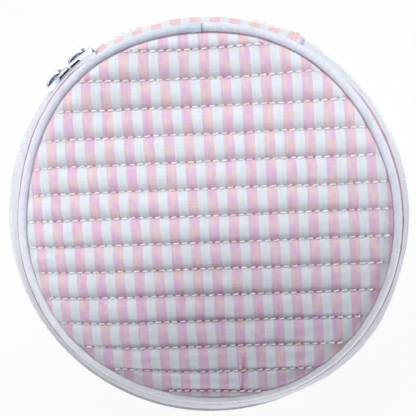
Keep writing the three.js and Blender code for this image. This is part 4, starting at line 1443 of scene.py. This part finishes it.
def gathered_pocket():
    angle = np.linspace(FRONT - pocket_half_angle, FRONT + pocket_half_angle, pocket_gathers * 14 + 1)
    rise = np.linspace(0, 1, 9)
    share = (angle - angle[0]) / (angle[-1] - angle[0])
    fold = np.cos(share * FULL_TURN * pocket_gathers + 0.5 * np.sin(share * 41))
    depth = 0.5 * (1 + 0.25 * soft_waves(share * 120, share * 0, 11, 111))
    out = pocket_radius - 0.6 * rise + (depth * fold)[:, None] * rise**1.4 * 0.85
    radius = np.concatenate([out, out[:, ::-1] - pocket_thick], axis=1)
    floor_level = lining_underside["base"] + lining_thick
    height = np.concatenate([rise, rise[::-1]]) * pocket_rise + floor_level + 0.1
    pocket = skin("gathered_pocket", around_case(radius, angle[:, None], height), "base", lining_cotton)
    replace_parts(pocket, "base_pocket")


def ruched_tube(name, body, centres, folds, seed):
    """An elastic in its hem, along these centres."""
    centres = settled(centres, body)
    way = np.gradient(centres, axis=0)
    way /= np.linalg.norm(way, axis=1)[:, None]
    up = np.array([0, 0, 1.0])
    side = np.cross(way, up)
    around, run = np.meshgrid(np.linspace(0, FULL_TURN, 14, endpoint=False), np.linspace(0, 1, len(centres)))
    rib = np.sin(run * FULL_TURN * folds + 0.9 * np.sin(around) + 2 * np.sin(run * 37))
    thick = elastic_thickness * (0.9 + 0.1 * rib + 0.04 * soft_waves(run * folds * 3, around, 4, seed))
    points = (centres[:, None, :] + side[:, None, :] * (thick * np.cos(around))[:, :, None]
              + up * (thick * np.sin(around))[:, :, None])
    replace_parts(skin(name, points, body, elastic_edge), f"{body}_pocket_elastic")


gathered_pocket()
elastic_angle = np.linspace(FRONT - pocket_half_angle, FRONT + pocket_half_angle, 700)
pocket_edge = around_case(pocket_edge_radius, elastic_angle, pocket_edge_height)
ruched_tube("pocket_elastic", "base", pocket_edge, folds=110, seed=131)
print("pocket is", round(2 * pocket_half_angle * pocket_radius), "mm long with", pocket_gathers, "gathers")

# %% [markdown]
# ## The slip pocket
#
# The lid has a flat slip pocket over half its width, with a narrow elastic edge across the middle. It is
# a half disc of lining cotton, held at its round edge, so it sags a little in the middle, away from the
# lining. It is built in rows from the mouth to the front, each row with the face and the back of the cloth.

# %% Make the slip pocket and its elastic
slip_radius = 64.675
slip_mouth = 4.7
slip_bottom = -64.6
slip_face = 23.05
slip_back = 23.85
slip_lowest = 22.7
slip_edge_reach = 64.2
slip_edge_y = 6.0
slip_edge_height = 22.9


def slip_pocket():
    rows = slip_mouth + (slip_bottom - slip_mouth) * np.sin(np.linspace(0, math.pi / 2, 46))
    spread = np.sin(np.linspace(-math.pi / 2, math.pi / 2, 70))
    slices = []
    for y in rows:
        x = math.sqrt(max(slip_radius**2 - y * y, 4.0)) * spread
        level_y = x * 0 + y
        out = np.hypot(x, y) / slip_radius
        sag = 0.2 * np.sqrt(np.clip(1 - out**4, 0, 1)) * (1 + 0.5 * soft_waves(x, level_y, 30, 121))
        lower = slip_face - sag * 0.9 - 0.06 * soft_waves(x, level_y, 9, 122)
        face = np.stack([x, level_y, np.maximum(lower, slip_lowest)], axis=-1)
        back = np.stack([x[::-1], level_y, x * 0 + slip_back], axis=-1)
        slices.append(np.concatenate([face, back]))
    points = settled(slices, "lid")
    pocket = skin("slip_pocket", points, "lid", lining_cotton, cloth=points[:, :, :2])
    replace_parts(pocket, "lid_pocket")


slip_pocket()
across_lid = np.linspace(-slip_edge_reach, slip_edge_reach, 620)
slip_edge = np.stack(np.broadcast_arrays(across_lid, slip_edge_y, slip_edge_height), axis=-1)
ruched_tube("slip_pocket_elastic", "lid", slip_edge, folds=90, seed=135)
print("slip pocket is", round(slip_mouth - slip_bottom), "mm deep")

# %% [markdown]
